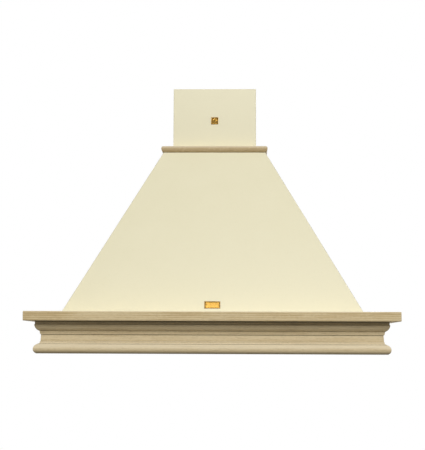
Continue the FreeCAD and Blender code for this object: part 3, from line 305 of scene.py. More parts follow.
def powder_coat():
    material, tree, surface, place = new_finish("satin_powder_coat")
    normal, edge = soft_edges(tree, 1.2)
    mottle = grain(tree, place, (70, 70, 70), 3.0)
    speckle = grain(tree, place, (5, 5, 5), 2.0)
    colour = blend(tree, drift(tree, mottle, 0.0, 1.0), "#E6DFBD", "#E8E1C0")
    colour = blend(tree, span(tree, speckle, 0.55, 0.75, 0.0, 0.2), colour, "#DFD7B2")
    colour = layer(tree, colour, edge, 0.5, "#F2EEDA")
    peel = grain(tree, place, (2.2, 2.2, 2.2), 1.0)
    rough = drift(tree, mottle, 0.40, 0.45)
    connect(tree, surface, Base_Color=colour, Roughness=rough, IOR=1.5)
    connect(tree, surface, Normal=bumps(tree, peel, 0.012, normal))
    return material


# %% [markdown]
# ## Oak
# The shelf, the crown and the collar are light, open-pored oak under a thin matt lacquer. Wood is
# a solid, so its pattern is made in three dimensions: growth rings are cylinders about a pith that
# lies outside the board, and each face shows the cut that it makes through them. Over the rings
# come long streaks of tone, short flecks where rays of harder cells surface, and the pores, dark
# scratches that only run along the grain. Real pores are under half a millimetre wide, finer than
# the picture can show, so a second set is drawn five times as coarse. Each board gets its own
# place in the log, and plain stock is picked for the mouldings, so that the figure doesn't fight
# the shape. Shade is painted into the colour where the profile turns inwards: the corners are
# found by how little open space a point sees within a few millimetres, and they are painted dark.
# Shade is painted towards the lowest edge too, and light is painted on whatever faces up.

# %% Saw the oak
ring_spacing = 3.4
oak_waves_per_mm = 0.314  # the Wave texture's rings are 0.314 apart at a scale of one
pull_along_grain = 0.06  # how fast the rings change along the grain, against across it
light_of_rings = 0.28
light_of_streaks = 0.6
light_of_tone = 0.75
light_at_least = 0.08
top_light_begins = 0.1  # the upward share of a face's direction where the painted light from above begins
top_light_is_full = 0.8
# How far the corners' painted shade looks for open space, in millimetres.
painted_shade_reach = 7.0
# Up to this height in millimetres, the wood is painted darker towards its lowest edge, as shade.
painted_low_shade_height = 7.0
pore_depth = 0.7  # against the streaks' height


def oak(name, along, place_in_log, tone_of_stock, figure):
    """One board: its grain's direction, its place in the log, its tone and how strong its figure is."""
    material, tree, surface, place = new_finish("lacquered_oak_" + name)
    parts = add(tree, "ShaderNodeSeparateXYZ", {0: place}).outputs
    order = {"X": (0, 1, 2), "Y": (1, 0, 2)}[along]
    turned_place = add(tree, "ShaderNodeCombineXYZ", {i: parts[axis] for i, axis in enumerate(order)})
    log = add(tree, "ShaderNodeVectorMath", {0: turned_place.outputs[0], 1: place_in_log}).outputs[0]
    normal, edge = soft_edges(tree, 0.8)
    # The corners' painted shade: how much open space each point sees.
    corner = add(tree, "ShaderNodeAmbientOcclusion", {"Distance": painted_shade_reach * mm}, samples=8).outputs["AO"]

    pulled = {0: log, 1: (pull_along_grain, 1.0, 1.0)}
    long_log = add(tree, "ShaderNodeVectorMath", pulled, operation="MULTIPLY")
    waves = {
        "Vector": long_log.outputs[0],
        "Scale": oak_waves_per_mm / ring_spacing,
        "Distortion": 5.0,
        "Detail": 2.0,
        "Detail Scale": 0.35,
    }
    rings = add(tree, "ShaderNodeTexWave", waves, wave_type="RINGS", rings_direction="X").outputs["Fac"]
    streaks = grain(tree, log, (55, 2.2, 2.2), 3.0)
    tone = grain(tree, log, (190, 26, 26), 2.0)
    pores = span(tree, grain(tree, log, (9, 0.45, 0.45), 1.0), 0.56, 0.68)
    coarse_pores = span(tree, grain(tree, log, (26, 2.2, 2.2), 2.0, (7, 3, 1)), 0.56, 0.70)
    rays = span(tree, grain(tree, log, (5, 1.6, 9), 1.0, (1, 9, 4)), 0.58, 0.72)
    # Painted shade: full at the lowest edge, none from that height up.
    painted_low_shade = span(tree, parts["Z"], painted_low_shade_height, 0.0)
    facing = add(tree, "ShaderNodeNewGeometry").outputs["Normal"]
    # Painted light from above: faces that point up are painted paler.
    upwards = add(tree, "ShaderNodeSeparateXYZ", {0: facing}).outputs["Z"]
    painted_top_light = span(tree, upwards, top_light_begins, top_light_is_full)

    light = scaled_sum(tree, rings, light_of_rings, light_at_least)
    light = scaled_sum(tree, streaks, light_of_streaks, light)
    light = scaled_sum(tree, tone, light_of_tone, light)
    stops = [(0.55, "#AD9161"), (0.98, "#E2D0A7"), (0.78, "#CCB484")]
    wood = add(tree, "ShaderNodeValToRGB", {"Fac": light}, stops).outputs[0]
    wood = blend(tree, figure, tone_of_stock, wood)
    wood = layer(tree, wood, rays, 0.22, "#E3D4AE")
    wood = layer(tree, wood, coarse_pores, 0.20, "#92784A")
    wood = layer(tree, wood, pores, 0.28, "#7F673F")
    wood = layer(tree, wood, edge, 0.25, "#E5D8B4")
    # Painted light from above on what faces up.
    wood = layer(tree, wood, painted_top_light, 0.6, "#F1E7CD")
    # Painted shade: corners and recesses are darkened towards a deep brown.
    wood = blend(tree, span(tree, corner, 0.45, 0.88), "#33240F", wood)
    # Painted shade towards the lowest edge.
    wood = layer(tree, wood, painted_low_shade, 0.5, "#6A5433")
    relief = scaled_sum(tree, pores, -pore_depth, streaks)
    connect(tree, surface, Base_Color=wood, Roughness=drift(tree, streaks, 0.62, 0.48), IOR=1.45)
    connect(tree, surface, Normal=bumps(tree, relief, 0.05, normal))
    return material


# %% [markdown]
# ## Metals
# Galvanised sheet shows the frost flowers that the zinc makes as it freezes, each about 12 mm
# across and each with its own sheen: Voronoi cells. Brushed stainless has scratches from a belt,
# hundreds of times longer than wide. Anodised aluminium is etched matt before it's anodised. The
# chrome, the zinc-plated screws and the brass differ in colour and polish. A polisher only reaches
# what stands out, so the brass keeps a dark patina where its relief says so. A metal's colour is
# its base colour, and it keeps the default IOR.

# %% Galvanise, brush and anodise
zinc_flowers_per_mm = 0.085
zinc_flower_wobble = 0.5  # how ragged their borders are, in flowers
crevice_reach = 1.6


def galvanised_steel():
    material, tree, surface, place = new_finish("galvanised_steel")
    normal, edge = soft_edges(tree, 0.6)
    warped = grain(tree, place, (9, 9, 9), 2.0)
    to_flowers = {0: place, 3: zinc_flowers_per_mm}
    counted = add(tree, "ShaderNodeVectorMath", to_flowers, operation="SCALE").outputs[0]
    swing = {0: warped, 1: zinc_flower_wobble}
    wobble = add(tree, "ShaderNodeMath", swing, operation="MULTIPLY").outputs[0]
    flowers_at = add(tree, "ShaderNodeVectorMath", {0: counted, 1: wobble}).outputs[0]
    flowers = add(tree, "ShaderNodeTexVoronoi", {"Vector": flowers_at, "Scale": 1.0})
    shade = add(tree, "ShaderNodeSeparateColor", {0: flowers.outputs["Color"]}).outputs
    colour = blend(tree, shade[0], "#A9AEB1", "#C9CDCF")
    colour = layer(tree, colour, edge, 0.4, "#DADCDD")
    fine = grain(tree, place, (0.8, 0.8, 0.8), 2.0)
    rough = span(tree, shade[1], 0.0, 1.0, 0.34, 0.52)
    connect(tree, surface, Base_Color=colour, Metallic=1.0, Roughness=rough)
    connect(tree, surface, Normal=bumps(tree, fine, 0.01, normal))
    return material


def brushed_stainless():
    material, tree, surface, place = new_finish("brushed_stainless_steel")
    normal, edge = soft_edges(tree, 0.6)
    scratches = grain(tree, place, (120, 0.5, 0.5), 3.0)
    clouds = grain(tree, place, (90, 60, 60), 2.0)
    colour = blend(tree, scratches, "#A9A9A6", "#CBCAC6")
    colour = layer(tree, colour, edge, 0.5, "#E4E4E2")
    rough = scaled_sum(tree, scratches, 0.22, 0.18)
    rough = scaled_sum(tree, clouds, 0.10, rough)
    connect(tree, surface, Base_Color=colour, Metallic=1.0, Roughness=rough)
    connect(tree, surface, Normal=bumps(tree, scratches, 0.015, normal))
    return material


def anodised_aluminium():
    material, tree, surface, place = new_finish("anodised_aluminium")
    normal, edge = soft_edges(tree, 0.5)
    frost = grain(tree, place, (0.7, 0.7, 0.7), 2.0)
    haze = grain(tree, place, (60, 60, 20), 2.0)
    colour = blend(tree, haze, "#BFC1C3", "#D2D4D5")
    colour = layer(tree, colour, edge, 0.5, "#ECEDED")
    connect(tree, surface, Base_Color=colour, Metallic=1.0, Roughness=drift(tree, haze, 0.32, 0.42))
    connect(tree, surface, Normal=bumps(tree, frost, 0.012, normal))
    return material


def expanded_aluminium():
    material, tree, surface, place = new_finish("expanded_aluminium_foil")
    haze = grain(tree, place, (14, 14, 6), 2.0)
    film = grain(tree, place, (80, 80, 80), 2.0)
    colour = blend(tree, haze, "#B4B7B9", "#E0E2E3")
    colour = blend(tree, span(tree, film, 0.5, 0.8, 0.0, 0.3), colour, "#C9BE9F")
    connect(tree, surface, Base_Color=colour, Metallic=1.0, Roughness=drift(tree, haze, 0.22, 0.38))
    return material


def satin_chrome():
    material, tree, surface, place = new_finish("satin_chrome")
    normal, edge = soft_edges(tree, 0.4)
    haze = grain(tree, place, (25, 25, 25), 2.0)
    blasted = grain(tree, place, (0.6, 0.6, 0.6), 1.0)
    colour = blend(tree, haze, "#D0D1D2", "#E2E3E4")
    colour = layer(tree, colour, edge, 0.5, "#F2F2F2")
    connect(tree, surface, Base_Color=colour, Metallic=1.0, Roughness=drift(tree, haze, 0.2, 0.28))
    connect(tree, surface, Normal=bumps(tree, blasted, 0.006, normal))
    return material


def zinc_plated_steel():
    material, tree, surface, place = new_finish("zinc_plated_steel")
    normal, edge = soft_edges(tree, 0.25)
    patches = grain(tree, place, (6, 6, 6), 2.0)
    colour = blend(tree, patches, "#B3B3AE", "#CFCFCB")
    colour = layer(tree, colour, edge, 0.5, "#E6E6E4")
    connect(tree, surface, Base_Color=colour, Metallic=1.0, Roughness=drift(tree, patches, 0.2, 0.32))
    fine = grain(tree, place, (0.5, 0.5, 0.5), 2.0)
    connect(tree, surface, Normal=bumps(tree, fine, 0.004, normal))
    return material


def lacquered_brass():
    material, tree, surface, place = new_finish("lacquered_brass")
    normal, edge = soft_edges(tree, 0.25)
    open_space = {"Distance": crevice_reach * mm}
    crevice = add(tree, "ShaderNodeAmbientOcclusion", open_space, samples=8).outputs["AO"]
    warm = grain(tree, place, (9, 9, 9), 2.0)
    brushing = grain(tree, place, (7, 0.35, 0.35), 2.0)
    patina = add(tree, "ShaderNodeAttribute", attribute_name="patina").outputs["Fac"]
    colour = blend(tree, warm, "#8F6D30", "#AD8843")
    colour = layer(tree, colour, edge, 0.3, "#D2B068")
    colour = layer(tree, colour, patina, 0.85, "#3E2A10")
    colour = blend(tree, span(tree, crevice, 0.45, 0.95), "#33220C", colour)
    connect(tree, surface, Base_Color=colour, Metallic=1.0, Roughness=drift(tree, brushing, 0.14, 0.22))
    connect(tree, surface, Normal=bumps(tree, brushing, 0.008, normal))
    return material


# %% [markdown]
# ## Plastics, enamel and glass
# Moulded plastic copies its mould: a spark-eroded mould leaves a fine leathery grain, a polished
# one a gloss with a slight wave. The motor's can is dipped in black enamel and baked, which runs
# smooth and thick, and looks like a polished plastic. The lamps' glasses are pressed and
# acid-frosted, so light gets through but no picture does.

# %% Mould, enamel and frost
gloss_swing = 0.05


def moulded_plastic(name, dark, pale, texture_size, texture_depth, rough):
    """A plastic's two close tones, the grain of its mould in millimetres, and its roughness."""
    material, tree, surface, place = new_finish(name)
    normal, edge = soft_edges(tree, 0.5)
    flow = grain(tree, place, (25, 25, 25), 2.0)
    leather = grain(tree, place, (texture_size,) * 3, 2.0)
    colour = blend(tree, flow, dark, pale)
    colour = layer(tree, colour, edge, 0.35, pale)
    connect(tree, surface, Base_Color=colour, IOR=1.5)
    connect(tree, surface, Roughness=drift(tree, leather, rough - gloss_swing, rough + gloss_swing))
    connect(tree, surface, Normal=bumps(tree, leather, texture_depth, normal))
    return material


def frosted_glass():
    material, tree, surface, place = new_finish("frosted_glass")
    etch = grain(tree, place, (0.5, 0.5, 0.5), 2.0)
    cloud = grain(tree, place, (12, 12, 12), 2.0)
    connect(tree, surface, Base_Color=blend(tree, cloud, "#E9EEEE", "#F6F8F8"))
    connect(tree, surface, Roughness=drift(tree, cloud, 0.35, 0.45), IOR=1.5)
    normal = soft_edges(tree, 0.4)[0]
    connect(tree, surface, Transmission_Weight=0.5, Normal=bumps(tree, etch, 0.02, normal))
    return material


# %% [markdown]
# ## Dress the pieces
# A piece that already has the right shape keeps it and only gets its finish. The record names the
# stock that each piece is made of, so one table from stock to finish covers nearly all of them.
# Oak is the exception: the front pieces have their grain along x and the side pieces along y,
# because wood is always cut with its grain along the length. The shelf, the crown and the collar
# come from different stock, each with its own tone and its own share of figure.

# %% Put the finishes on
finishes = {
    "cream_paint": powder_coat(),
    "zinc_steel": galvanised_steel(),
    "panel_steel": brushed_stainless(),
    "filter_aluminium": anodised_aluminium(),
    "lamp_trim": satin_chrome(),
    "lamp_glass": frosted_glass(),
    "black_plastic": moulded_plastic("textured_black_abs", "#1B1B1C", "#2A2A2B", 0.8, 0.03, 0.5),
    "grey_plastic": moulded_plastic("satin_grey_polypropylene", "#8E9294", "#A0A4A6", 1.2, 0.015, 0.42),
    "button_plastic": moulded_plastic("polished_black_abs", "#161617", "#222224", 2.5, 0.004, 0.2),
    "motor_shell": moulded_plastic("baked_black_enamel", "#18191A", "#26282A", 3.0, 0.02, 0.28),
    "bright_steel": zinc_plated_steel(),
    "brass": lacquered_brass(),
}
pith_from_board = Vector((0, 70, -95))
board_spacing = Vector((410, 23, 31))
stock_of_oak = {"shelf": ("#D3BC8C", 0.6), "crown": ("#D8C59D", 0.3), "collar": ("#A58B5F", 0.35)}

slot_of_node = {name: piece.data.materials[0].name for name, piece in nodes.items()}
oak_pieces = sorted(name for name, stock in slot_of_node.items() if stock == "oak")
for name, piece in nodes.items():
    if name in oak_pieces:
        along = "X" if "front" in name else "Y"
        tone, figure = stock_of_oak[name.split("_")[0]]
        finish = oak(name, along, pith_from_board + board_spacing * oak_pieces.index(name), tone, figure)
    else:
        finish = finishes[slot_of_node[name]]
    piece.material_slots[0].material = finish
print("finishes:", len(finishes), "and", len(oak_pieces), "boards of oak")

# %% [markdown]
# ## Small shapes in full
# The drawing keeps its smallest pieces plain. Here they get the detail that a hand or an eye would
# find on them. Four ways of making are enough: turning a profile about an axis, as on a lathe;
# pressing a relief into a plate, as a die does; running a strand along a zigzag; and standing
# copies of one shape on points.

# %% Helpers for shapes
weld_distance = 0.001 * mm
no_points = bpy.data.meshes.new("no_points")


def turned(profile, steps):
    """A shape turned about z from (radius, height) pairs in millimetres. A zero radius is a pole."""
    shape = bmesh.new()
    rings = []
    for radius, height in profile:
        count = steps if radius else 1
        angles = [2 * math.pi * i / steps for i in range(count)]
        ring = [(radius * math.cos(angle), radius * math.sin(angle), height) for angle in angles]
        rings.append([shape.verts.new(Vector(corner) * mm) for corner in ring])
    for low, high in zip(rings, rings[1:]):
        for i in range(steps):
            j = (i + 1) % steps
            corners = [low[i % len(low)], low[j % len(low)], high[j % len(high)], high[i % len(high)]]
            shape.faces.new(list(dict.fromkeys(corners)))
    bmesh.ops.remove_doubles(shape, verts=shape.verts, dist=weld_distance)
    bmesh.ops.recalc_face_normals(shape, faces=shape.faces)
    return shape


def mesh_from(shape, name):
    """A finished mesh from a shape under construction."""
    mesh = bpy.data.meshes.new(name)
    shape.to_mesh(mesh)
    shape.free()
    return mesh


def generated(tree, start, **inputs):
    """The plain mesh that a node tree makes from a starting mesh and its named inputs."""
    carrier = bpy.data.objects.new("carrier", start)
    scene.collection.objects.link(carrier)
    modifier = carrier.modifiers.new("generated", "NODES")
    modifier.node_group = tree
    for socket in tree.interface.items_tree:
        if socket.in_out == "INPUT" and socket.name in inputs:
            modifier[socket.identifier] = inputs[socket.name]
    bpy.context.view_layer.update()
    evaluated = carrier.evaluated_get(bpy.context.evaluated_depsgraph_get())
    mesh = bpy.data.meshes.new_from_object(evaluated)
    bpy.data.objects.remove(carrier)
    return mesh


def new_tree(name, **sockets):
    """An empty geometry tree with the given inputs, and one geometry output."""
    tree = bpy.data.node_groups.new(name, "GeometryNodeTree")
    for label, kind in sockets.items():
        tree.interface.new_socket(label, in_out="INPUT", socket_type="NodeSocket" + kind)
    tree.interface.new_socket("Result", in_out="OUTPUT", socket_type="NodeSocketGeometry")
    return tree, add(tree, "NodeGroupInput").outputs


def close_tree(tree, geometry, finish):
    """End a geometry tree in real faces with their material on."""
    real = add(tree, "GeometryNodeRealizeInstances", {0: geometry}).outputs[0]
    dressed = add(tree, "GeometryNodeSetMaterial", {"Geometry": real, "Material": finish}).outputs[0]
    add(tree, "NodeGroupOutput", {0: dressed})


def put_in(name, mesh, like, replace=True):
    """A new piece that moves like a drawn one, and takes its place."""
    mesh.name = name
    piece = bpy.data.objects.new(name, mesh)
    scene.collection.objects.link(piece)
    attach(piece, body_of_node[like])
    if replace:
        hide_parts(like)
    return piece


# %% [markdown]
# ## The filters' mesh
# A grease filter holds layers of expanded aluminium: foil is slit in staggered rows and pulled, and
# every slit opens to a diamond. Drawn as strands, each row is a zigzag, and the next row is the
# same zigzag one bend further on, so that its low points meet the high ones. The layers are only
# laid on each other, so they wander by a few millimetres, but not at the rim, where the frame
# holds them. The wandering comes from noise that changes slowly within a layer, and fast from one
# layer to the next.

# %% Stretch the filters' mesh
diamond_width = 10.0 * mm
diamond_height = 6.4 * mm
mesh_layers = 3
mesh_strand = 0.6 * mm
mesh_wander = (5 * mm, 5 * mm, 1.2 * mm)
wander_changes = (30, 30, 900)  # per metre
rim_held = 20 * mm


def expanded_mesh_tree():
    """Rows of zigzag strands in layers, which wander except near the rim."""
    sockets = {label: "Vector" for label in ("Start", "Bend", "Row", "Layer", "Half", "Middle", "Wander")}
    sockets.update({label: "Int" for label in ("Bends", "Rows", "Layers")})
    tree, given = new_tree("expanded_mesh", **sockets, Strand="Float", Finish="Material")
    index = add(tree, "GeometryNodeInputIndex").outputs[0]
    odd = add(tree, "ShaderNodeMath", {0: index, 1: 2.0}, operation="MODULO").outputs[0]

    def line(count, offset, start=None):
        """Points in a row, each one offset from the last."""
        inputs = {"Count": count, "Offset": offset}
        if start:
            inputs["Start Location"] = start
        return add(tree, "GeometryNodeMeshLine", inputs, mode="OFFSET").outputs[0]

    def every_other(points, step, share):
        """The odd points pushed by a step, and all of them by a share of it."""
        pushed = add(tree, "ShaderNodeMath", {0: odd, 1: share}, operation="ADD").outputs[0]
        push = add(tree, "ShaderNodeVectorMath", {0: step, 3: pushed}, operation="SCALE").outputs[0]
        return add(tree, "GeometryNodeSetPosition", {"Geometry": points, "Offset": push}).outputs[0]

    zigzag = every_other(line(given["Bends"], given["Bend"]), given["Row"], -0.5)
    path = add(tree, "GeometryNodeMeshToCurve", {0: zigzag}).outputs[0]
    square = {"Width": given["Strand"], "Height": given["Strand"]}
    section = add(tree, "GeometryNodeCurvePrimitiveQuadrilateral", square).outputs[0]
    strand = add(tree, "GeometryNodeCurveToMesh", {0: path, 1: section, "Fill Caps": True}).outputs[0]
    rows = every_other(line(given["Rows"], given["Row"]), given["Bend"], 0.0)
    sheet = add(tree, "GeometryNodeInstanceOnPoints", {"Points": rows, "Instance": strand}).outputs[0]
    layers = line(given["Layers"], given["Layer"], given["Start"])
    pad = add(tree, "GeometryNodeInstanceOnPoints", {"Points": layers, "Instance": sheet}).outputs[0]
    pad = add(tree, "GeometryNodeRealizeInstances", {0: pad}).outputs[0]

    def vector(operation, first, second=None):
        """A vector worked out from one or two others."""
        inputs = {0: first} if second is None else {0: first, 1: second}
        return add(tree, "ShaderNodeVectorMath", inputs, operation=operation).outputs[0]

    place = add(tree, "GeometryNodeInputPosition").outputs[0]
    noise_at = {"Vector": vector("MULTIPLY", place, wander_changes), "Scale": 1.0, "Detail": 1.0}
    noise = add(tree, "ShaderNodeTexNoise", noise_at).outputs["Color"]
    wander = vector("MULTIPLY", vector("SUBTRACT", noise, (0.5, 0.5, 0.5)), given["Wander"])
    to_rim = vector("SUBTRACT", given["Half"], vector("ABSOLUTE", place))
    sides = add(tree, "ShaderNodeSeparateXYZ", {0: to_rim}).outputs
    nearest = add(tree, "ShaderNodeMath", {0: sides["X"], 1: sides["Y"]}, operation="MINIMUM").outputs[0]
    free = add(tree, "ShaderNodeMapRange", {"Value": nearest, "From Max": rim_held}).outputs[0]
    wander = add(tree, "ShaderNodeVectorMath", {0: wander, 3: free}, operation="SCALE").outputs[0]
    moved = {"Geometry": pad, "Offset": vector("ADD", wander, given["Middle"])}
    pad = add(tree, "GeometryNodeSetPosition", moved).outputs[0]
    close_tree(tree, pad, given["Finish"])
    return tree


def mesh_pad(tree, node, finish):
    """The mesh of one filter, as large as the drawn one."""
    low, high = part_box(node)
    size = high - low
    bends = round(size.x / (diamond_width / 2))
    rows = round((size.y - mesh_strand) / (diamond_height / 2))
    bend = Vector(((size.x - mesh_strand) / bends, 0, 0))
    row = Vector((0, (size.y - mesh_strand) / rows, 0))
    lift = Vector((0, 0, size.z / (mesh_layers + 1)))
    start = -(bend * bends + row * (rows - 1) + lift * (mesh_layers - 1)) / 2
    return generated(
        tree,
        no_points.copy(),
        Start=start,
        Bend=bend,
        Row=row,
        Layer=lift,
        Half=size / 2,
        Middle=(low + high) / 2,
        Bends=bends,
        Rows=rows,
        Layers=mesh_layers,
        Strand=mesh_strand,
        Wander=mesh_wander,
        Finish=finish,
    )


mesh_tree = expanded_mesh_tree()
foil = expanded_aluminium()
for side in ("left", "right"):
    node = "filter_mesh_" + side
    pad = put_in("expanded_mesh_" + side, mesh_pad(mesh_tree, node, foil), node)
    print(pad.name, len(pad.data.polygons), "faces")

# %% [markdown]
# ## Screws
# The drawn screws are plain pins. A real one has a domed head with a cross recess, a thread, and on
# a wood screw a point. Where each one sits and which way it goes is read off the drawn screws:
# they are taken apart into loose solids, and the wider end of a solid is the head.

# %% Cut the screws
screw_steps = 12
head_radius = 3.5
head_height = 2.0
rim_height = 0.7  # the head's straight side, under its dome
recess_radius = 1.9
recess_floor_radius = 0.7
recess_depth = 1.1
web_depth = 0.88  # how deep the cross still is at its arms' ends
thread_pitch = 1.5
thread_inner = 1.45
thread_outer = 2.0
point_length = 3.0
wider_than_a_shank = 2.5 * mm


def stand_on_points_tree():
    """Stands a copy of a shape on every point, its z axis along the point's own direction."""
    tree, given = new_tree("stand_on_points", Points="Geometry", Shape="Object", Finish="Material")
    noted = {"Name": "direction"}
    direction = add(tree, "GeometryNodeInputNamedAttribute", noted, data_type="FLOAT_VECTOR").outputs[0]
    turn = add(tree, "FunctionNodeAlignRotationToVector", {"Vector": direction}, axis="Z").outputs[0]
    shape = add(tree, "GeometryNodeObjectInfo", {"Object": given["Shape"]}).outputs["Geometry"]
    standing = {"Points": given["Points"], "Instance": shape, "Rotation": turn}
    copies = add(tree, "GeometryNodeInstanceOnPoints", standing).outputs[0]
    close_tree(tree, copies, given["Finish"])
    return tree


stand_on_points = stand_on_points_tree()


def copies_of(shape, places, directions, finish):
    """One mesh with a copy of the shape at each place, along each direction."""
    points = bpy.data.meshes.new("points")
    points.from_pydata(places, [], [])
    points.attributes.new("direction", "FLOAT_VECTOR", "POINT")
    for i, direction in enumerate(directions):
        points.attributes["direction"].data[i].vector = direction
    template = bpy.data.objects.new("template", mesh_from(shape, "template"))
    scene.collection.objects.link(template)
    mesh = generated(stand_on_points, points, Shape=template, Finish=finish)
    bpy.data.objects.remove(template)
    return mesh


def screw_shape(length):
    """A pan head with a cross recess over a threaded shank with a point. Lengths in millimetres."""
    profile = [(0, recess_depth), (recess_floor_radius, recess_depth), (recess_radius, 0)]
    profile += [(2.7, 0.15), (3.3, 0.6), (head_radius, head_height - rim_height)]
    profile += [(head_radius, head_height), (thread_inner, head_height)]
    turns = int((length - head_height - point_length) / thread_pitch)
    for turn in range(turns):
        crest = head_height + (turn + 0.5) * thread_pitch
        profile += [(thread_outer, crest), (thread_inner, crest + thread_pitch / 2)]
    profile.append((0, length))
    shape = turned(profile, screw_steps)
    near = 0.1 * mm
    for corner in shape.verts:
        on_an_arm = min(abs(corner.co.x), abs(corner.co.y)) < near
        on_the_recess_edge = abs(corner.co.xy.length - recess_radius * mm) < near
        if on_an_arm and on_the_recess_edge and corner.co.z < near:
            corner.co.z = web_depth * mm
    return shape


def loose_parts(mesh):
    """The separate solids of a mesh, each as a list of its corners."""
    shape = bmesh.new()
    shape.from_mesh(mesh)
    bmesh.ops.remove_doubles(shape, verts=shape.verts, dist=weld_distance)
    seen = set()
    parts = []
    for start in shape.verts:
        if start in seen:
            continue
        seen.add(start)
        part = []
        waiting = [start]
        while waiting:
            corner = waiting.pop()
            part.append(corner.co.copy())
            joined = {edge.other_vert(corner) for edge in corner.link_edges} - seen
            seen |= joined
            waiting.extend(joined)
        parts.append(part)
    shape.free()
    return parts


def screw_seats(node):
    """The top of each head, the way its screw points, and the length."""
    seats = []
    for corners in loose_parts(nodes[node].data):
        low = Vector([min(corner[i] for corner in corners) for i in range(3)])
        high = Vector([max(corner[i] for corner in corners) for i in range(3)])
        size = high - low
        along = max(range(3), key=lambda i: size[i])
        middle = (low + high) / 2
        head_side = 0.0
        for corner in corners:
            ahead = corner[along] - middle[along]
            across = math.sqrt(max(0.0, (corner - middle).length_squared - ahead**2))
            if across > wider_than_a_shank:
                head_side += ahead
        direction = Vector((0, 0, 0))
        direction[along] = -math.copysign(1.0, head_side)
        seats.append((middle - direction * size[along] / 2, direction, size[along]))
    return seats


named_screws = {"wood_screws": "pan_head_wood_screws", "underside_screws": "pan_head_panel_screws"}
for node, name in named_screws.items():
    places, directions, lengths = zip(*screw_seats(node))
    copies = copies_of(screw_shape(lengths[0] / mm), places, directions, finishes[slot_of_node[node]])
    screws = put_in(name, copies, node)
    print(screws.name, len(places), "screws,", len(screws.data.polygons), "faces")

# %% [markdown]
# ## Lamp glasses and button marks
# A lamp's glass is pressed with rings, which spread the light, and has a plain rim where it lies on
# its seat. The speeds are marked by one, two or three raised dots that a finger can read, and the
# light by a ring with a dot in it.

# %% Press the glasses and mark the buttons
lens_ring_pitch = 3.0
lens_ring_depth = 0.6
lens_ring_points = 6
lens_rim = 2.4
lens_steps = 72
mark_height = 0.35
mark_shoulder = 0.25
mark_sink = 0.1  # how far a mark starts below the button's face
dot_radius = 0.95
dot_steps = 16
dot_spacing = 3.4 * mm
ring_inner = 1.9
ring_outer = 2.9
ring_slope = 0.15
ring_steps = 32


def lens_shape(radius, thickness):
    """A disc whose lower face has rings, except at its rim."""
    rings = int((radius - lens_rim) / lens_ring_pitch)
    profile = []
    for point in range(rings * lens_ring_points):
        across = point / lens_ring_points
        hollow = lens_ring_depth * (1 - abs(math.sin(math.pi * across)))
        profile.append((across * lens_ring_pitch, hollow))
    profile += [(rings * lens_ring_pitch, 0), (radius, 0), (radius, thickness), (0, thickness)]
    return turned(profile, lens_steps)


def underside_middle(node):
    """The middle of a drawn piece's lowest face."""
    low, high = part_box(node)
    return Vector(((low.x + high.x) / 2, (low.y + high.y) / 2, low.z))


up = Vector((0, 0, 1))
for side in ("left", "right"):
    node = "lamp_lens_" + side
    low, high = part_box(node)
    shape = lens_shape((high.x - low.x) / 2 / mm, (high.z - low.z) / mm)
    glass = copies_of(shape, [underside_middle(node)], [up], finishes[slot_of_node[node]])
    put_in("ringed_lens_" + side, glass, node)

dot = [(0, mark_height), (0.5, 0.3), (0.85, 0.12), (dot_radius, 0)]
dot += [(dot_radius, -mark_sink), (0, -mark_sink)]
ring = [(ring_inner, -mark_sink), (ring_inner + ring_slope, mark_shoulder)]
ring += [((ring_inner + ring_outer) / 2, mark_height), (ring_outer - ring_slope, mark_shoulder)]
ring += [(ring_outer, -mark_sink), (ring_inner, -mark_sink)]
dots_of_button = {"speed_low": 1, "speed_medium": 2, "speed_high": 3, "light": 1}
for button, count in dots_of_button.items():
    node = "button_" + button
    finish = finishes[slot_of_node[node]]
    face_middle = underside_middle(node)
    steps = [Vector(((i - (count - 1) / 2) * dot_spacing, 0, 0)) for i in range(count)]
    places = [face_middle + step for step in steps]
    dots = copies_of(turned(dot, dot_steps), places, [-up] * count, finish)
    put_in("dots_on_" + node, dots, node, replace=False)
    if button == "light":
        circle = copies_of(turned(ring, ring_steps), [face_middle], [-up], finish)
        put_in("ring_on_" + node, circle, node, replace=False)
print("dots:", dots_of_button)

# %% [markdown]
# ## Brass plates
# Two small plates are stamped from brass. Each one is a sheet whose front is raised by a height
# that is worked out from the place on it: one is a rosette in a border of pearls, the other an
# empty field in a raised border, with a pin at each end. The relief also says how dark the patina
# is, because a polisher only reaches what stands out. The plates take their place, size and slope
# from the drawn ones. Widths and radii are millimetres, and heights are shares of the plate's.

# %% Stamp the plates
stamp_step = 0.22 * mm

# The rosette: its border of pearls, its petals and its eye
plate_edge_height = 0.45
pearl_border_height = 0.65
pearl_border_width = 2.1
pearl_foot_height = 0.62
pearl_rise = 0.3
pearl_radius = 0.62
pearl_inset = 1.25  # from the plate's edge to the pearls' middles
pearls_on_a_side = 12
flower_field_height = 0.4
flower_radius = 7.0
petals = 8
petal_rise = 0.42
eye_radius = 1.6
eye_foot_height = 0.55
eye_rise = 0.45
eye_hollow_radius = 2.1
eye_hollow_height = 0.35

# The name plate: its border, the groove inside it, its field and its pins
name_edge_height = 0.5
name_border_width = 1.6
groove_floor_height = 0.4
groove_middle = 2.0  # from the plate's edge
groove_reach = 1.0  # how far its dark patina reaches to both sides
name_field_height = 0.55
name_field_inset = 3.4
pin_radius = 1.2
pin_inset = 5.4
pin_rise = 0.4


def mix(first, second, share):
    """A value between two others."""
    return first + (second - first) * share


def rise(value, low, high):
    """A smooth step from zero to one between two values."""
    share = min(1.0, max(0.0, (value - low) / (high - low)))
    return share * share * (3 - 2 * share)


def dome(distance, radius):
    """The height of a round boss, as a share of its middle's."""
    return math.sqrt(max(0.0, 1 - (distance / radius) ** 2))


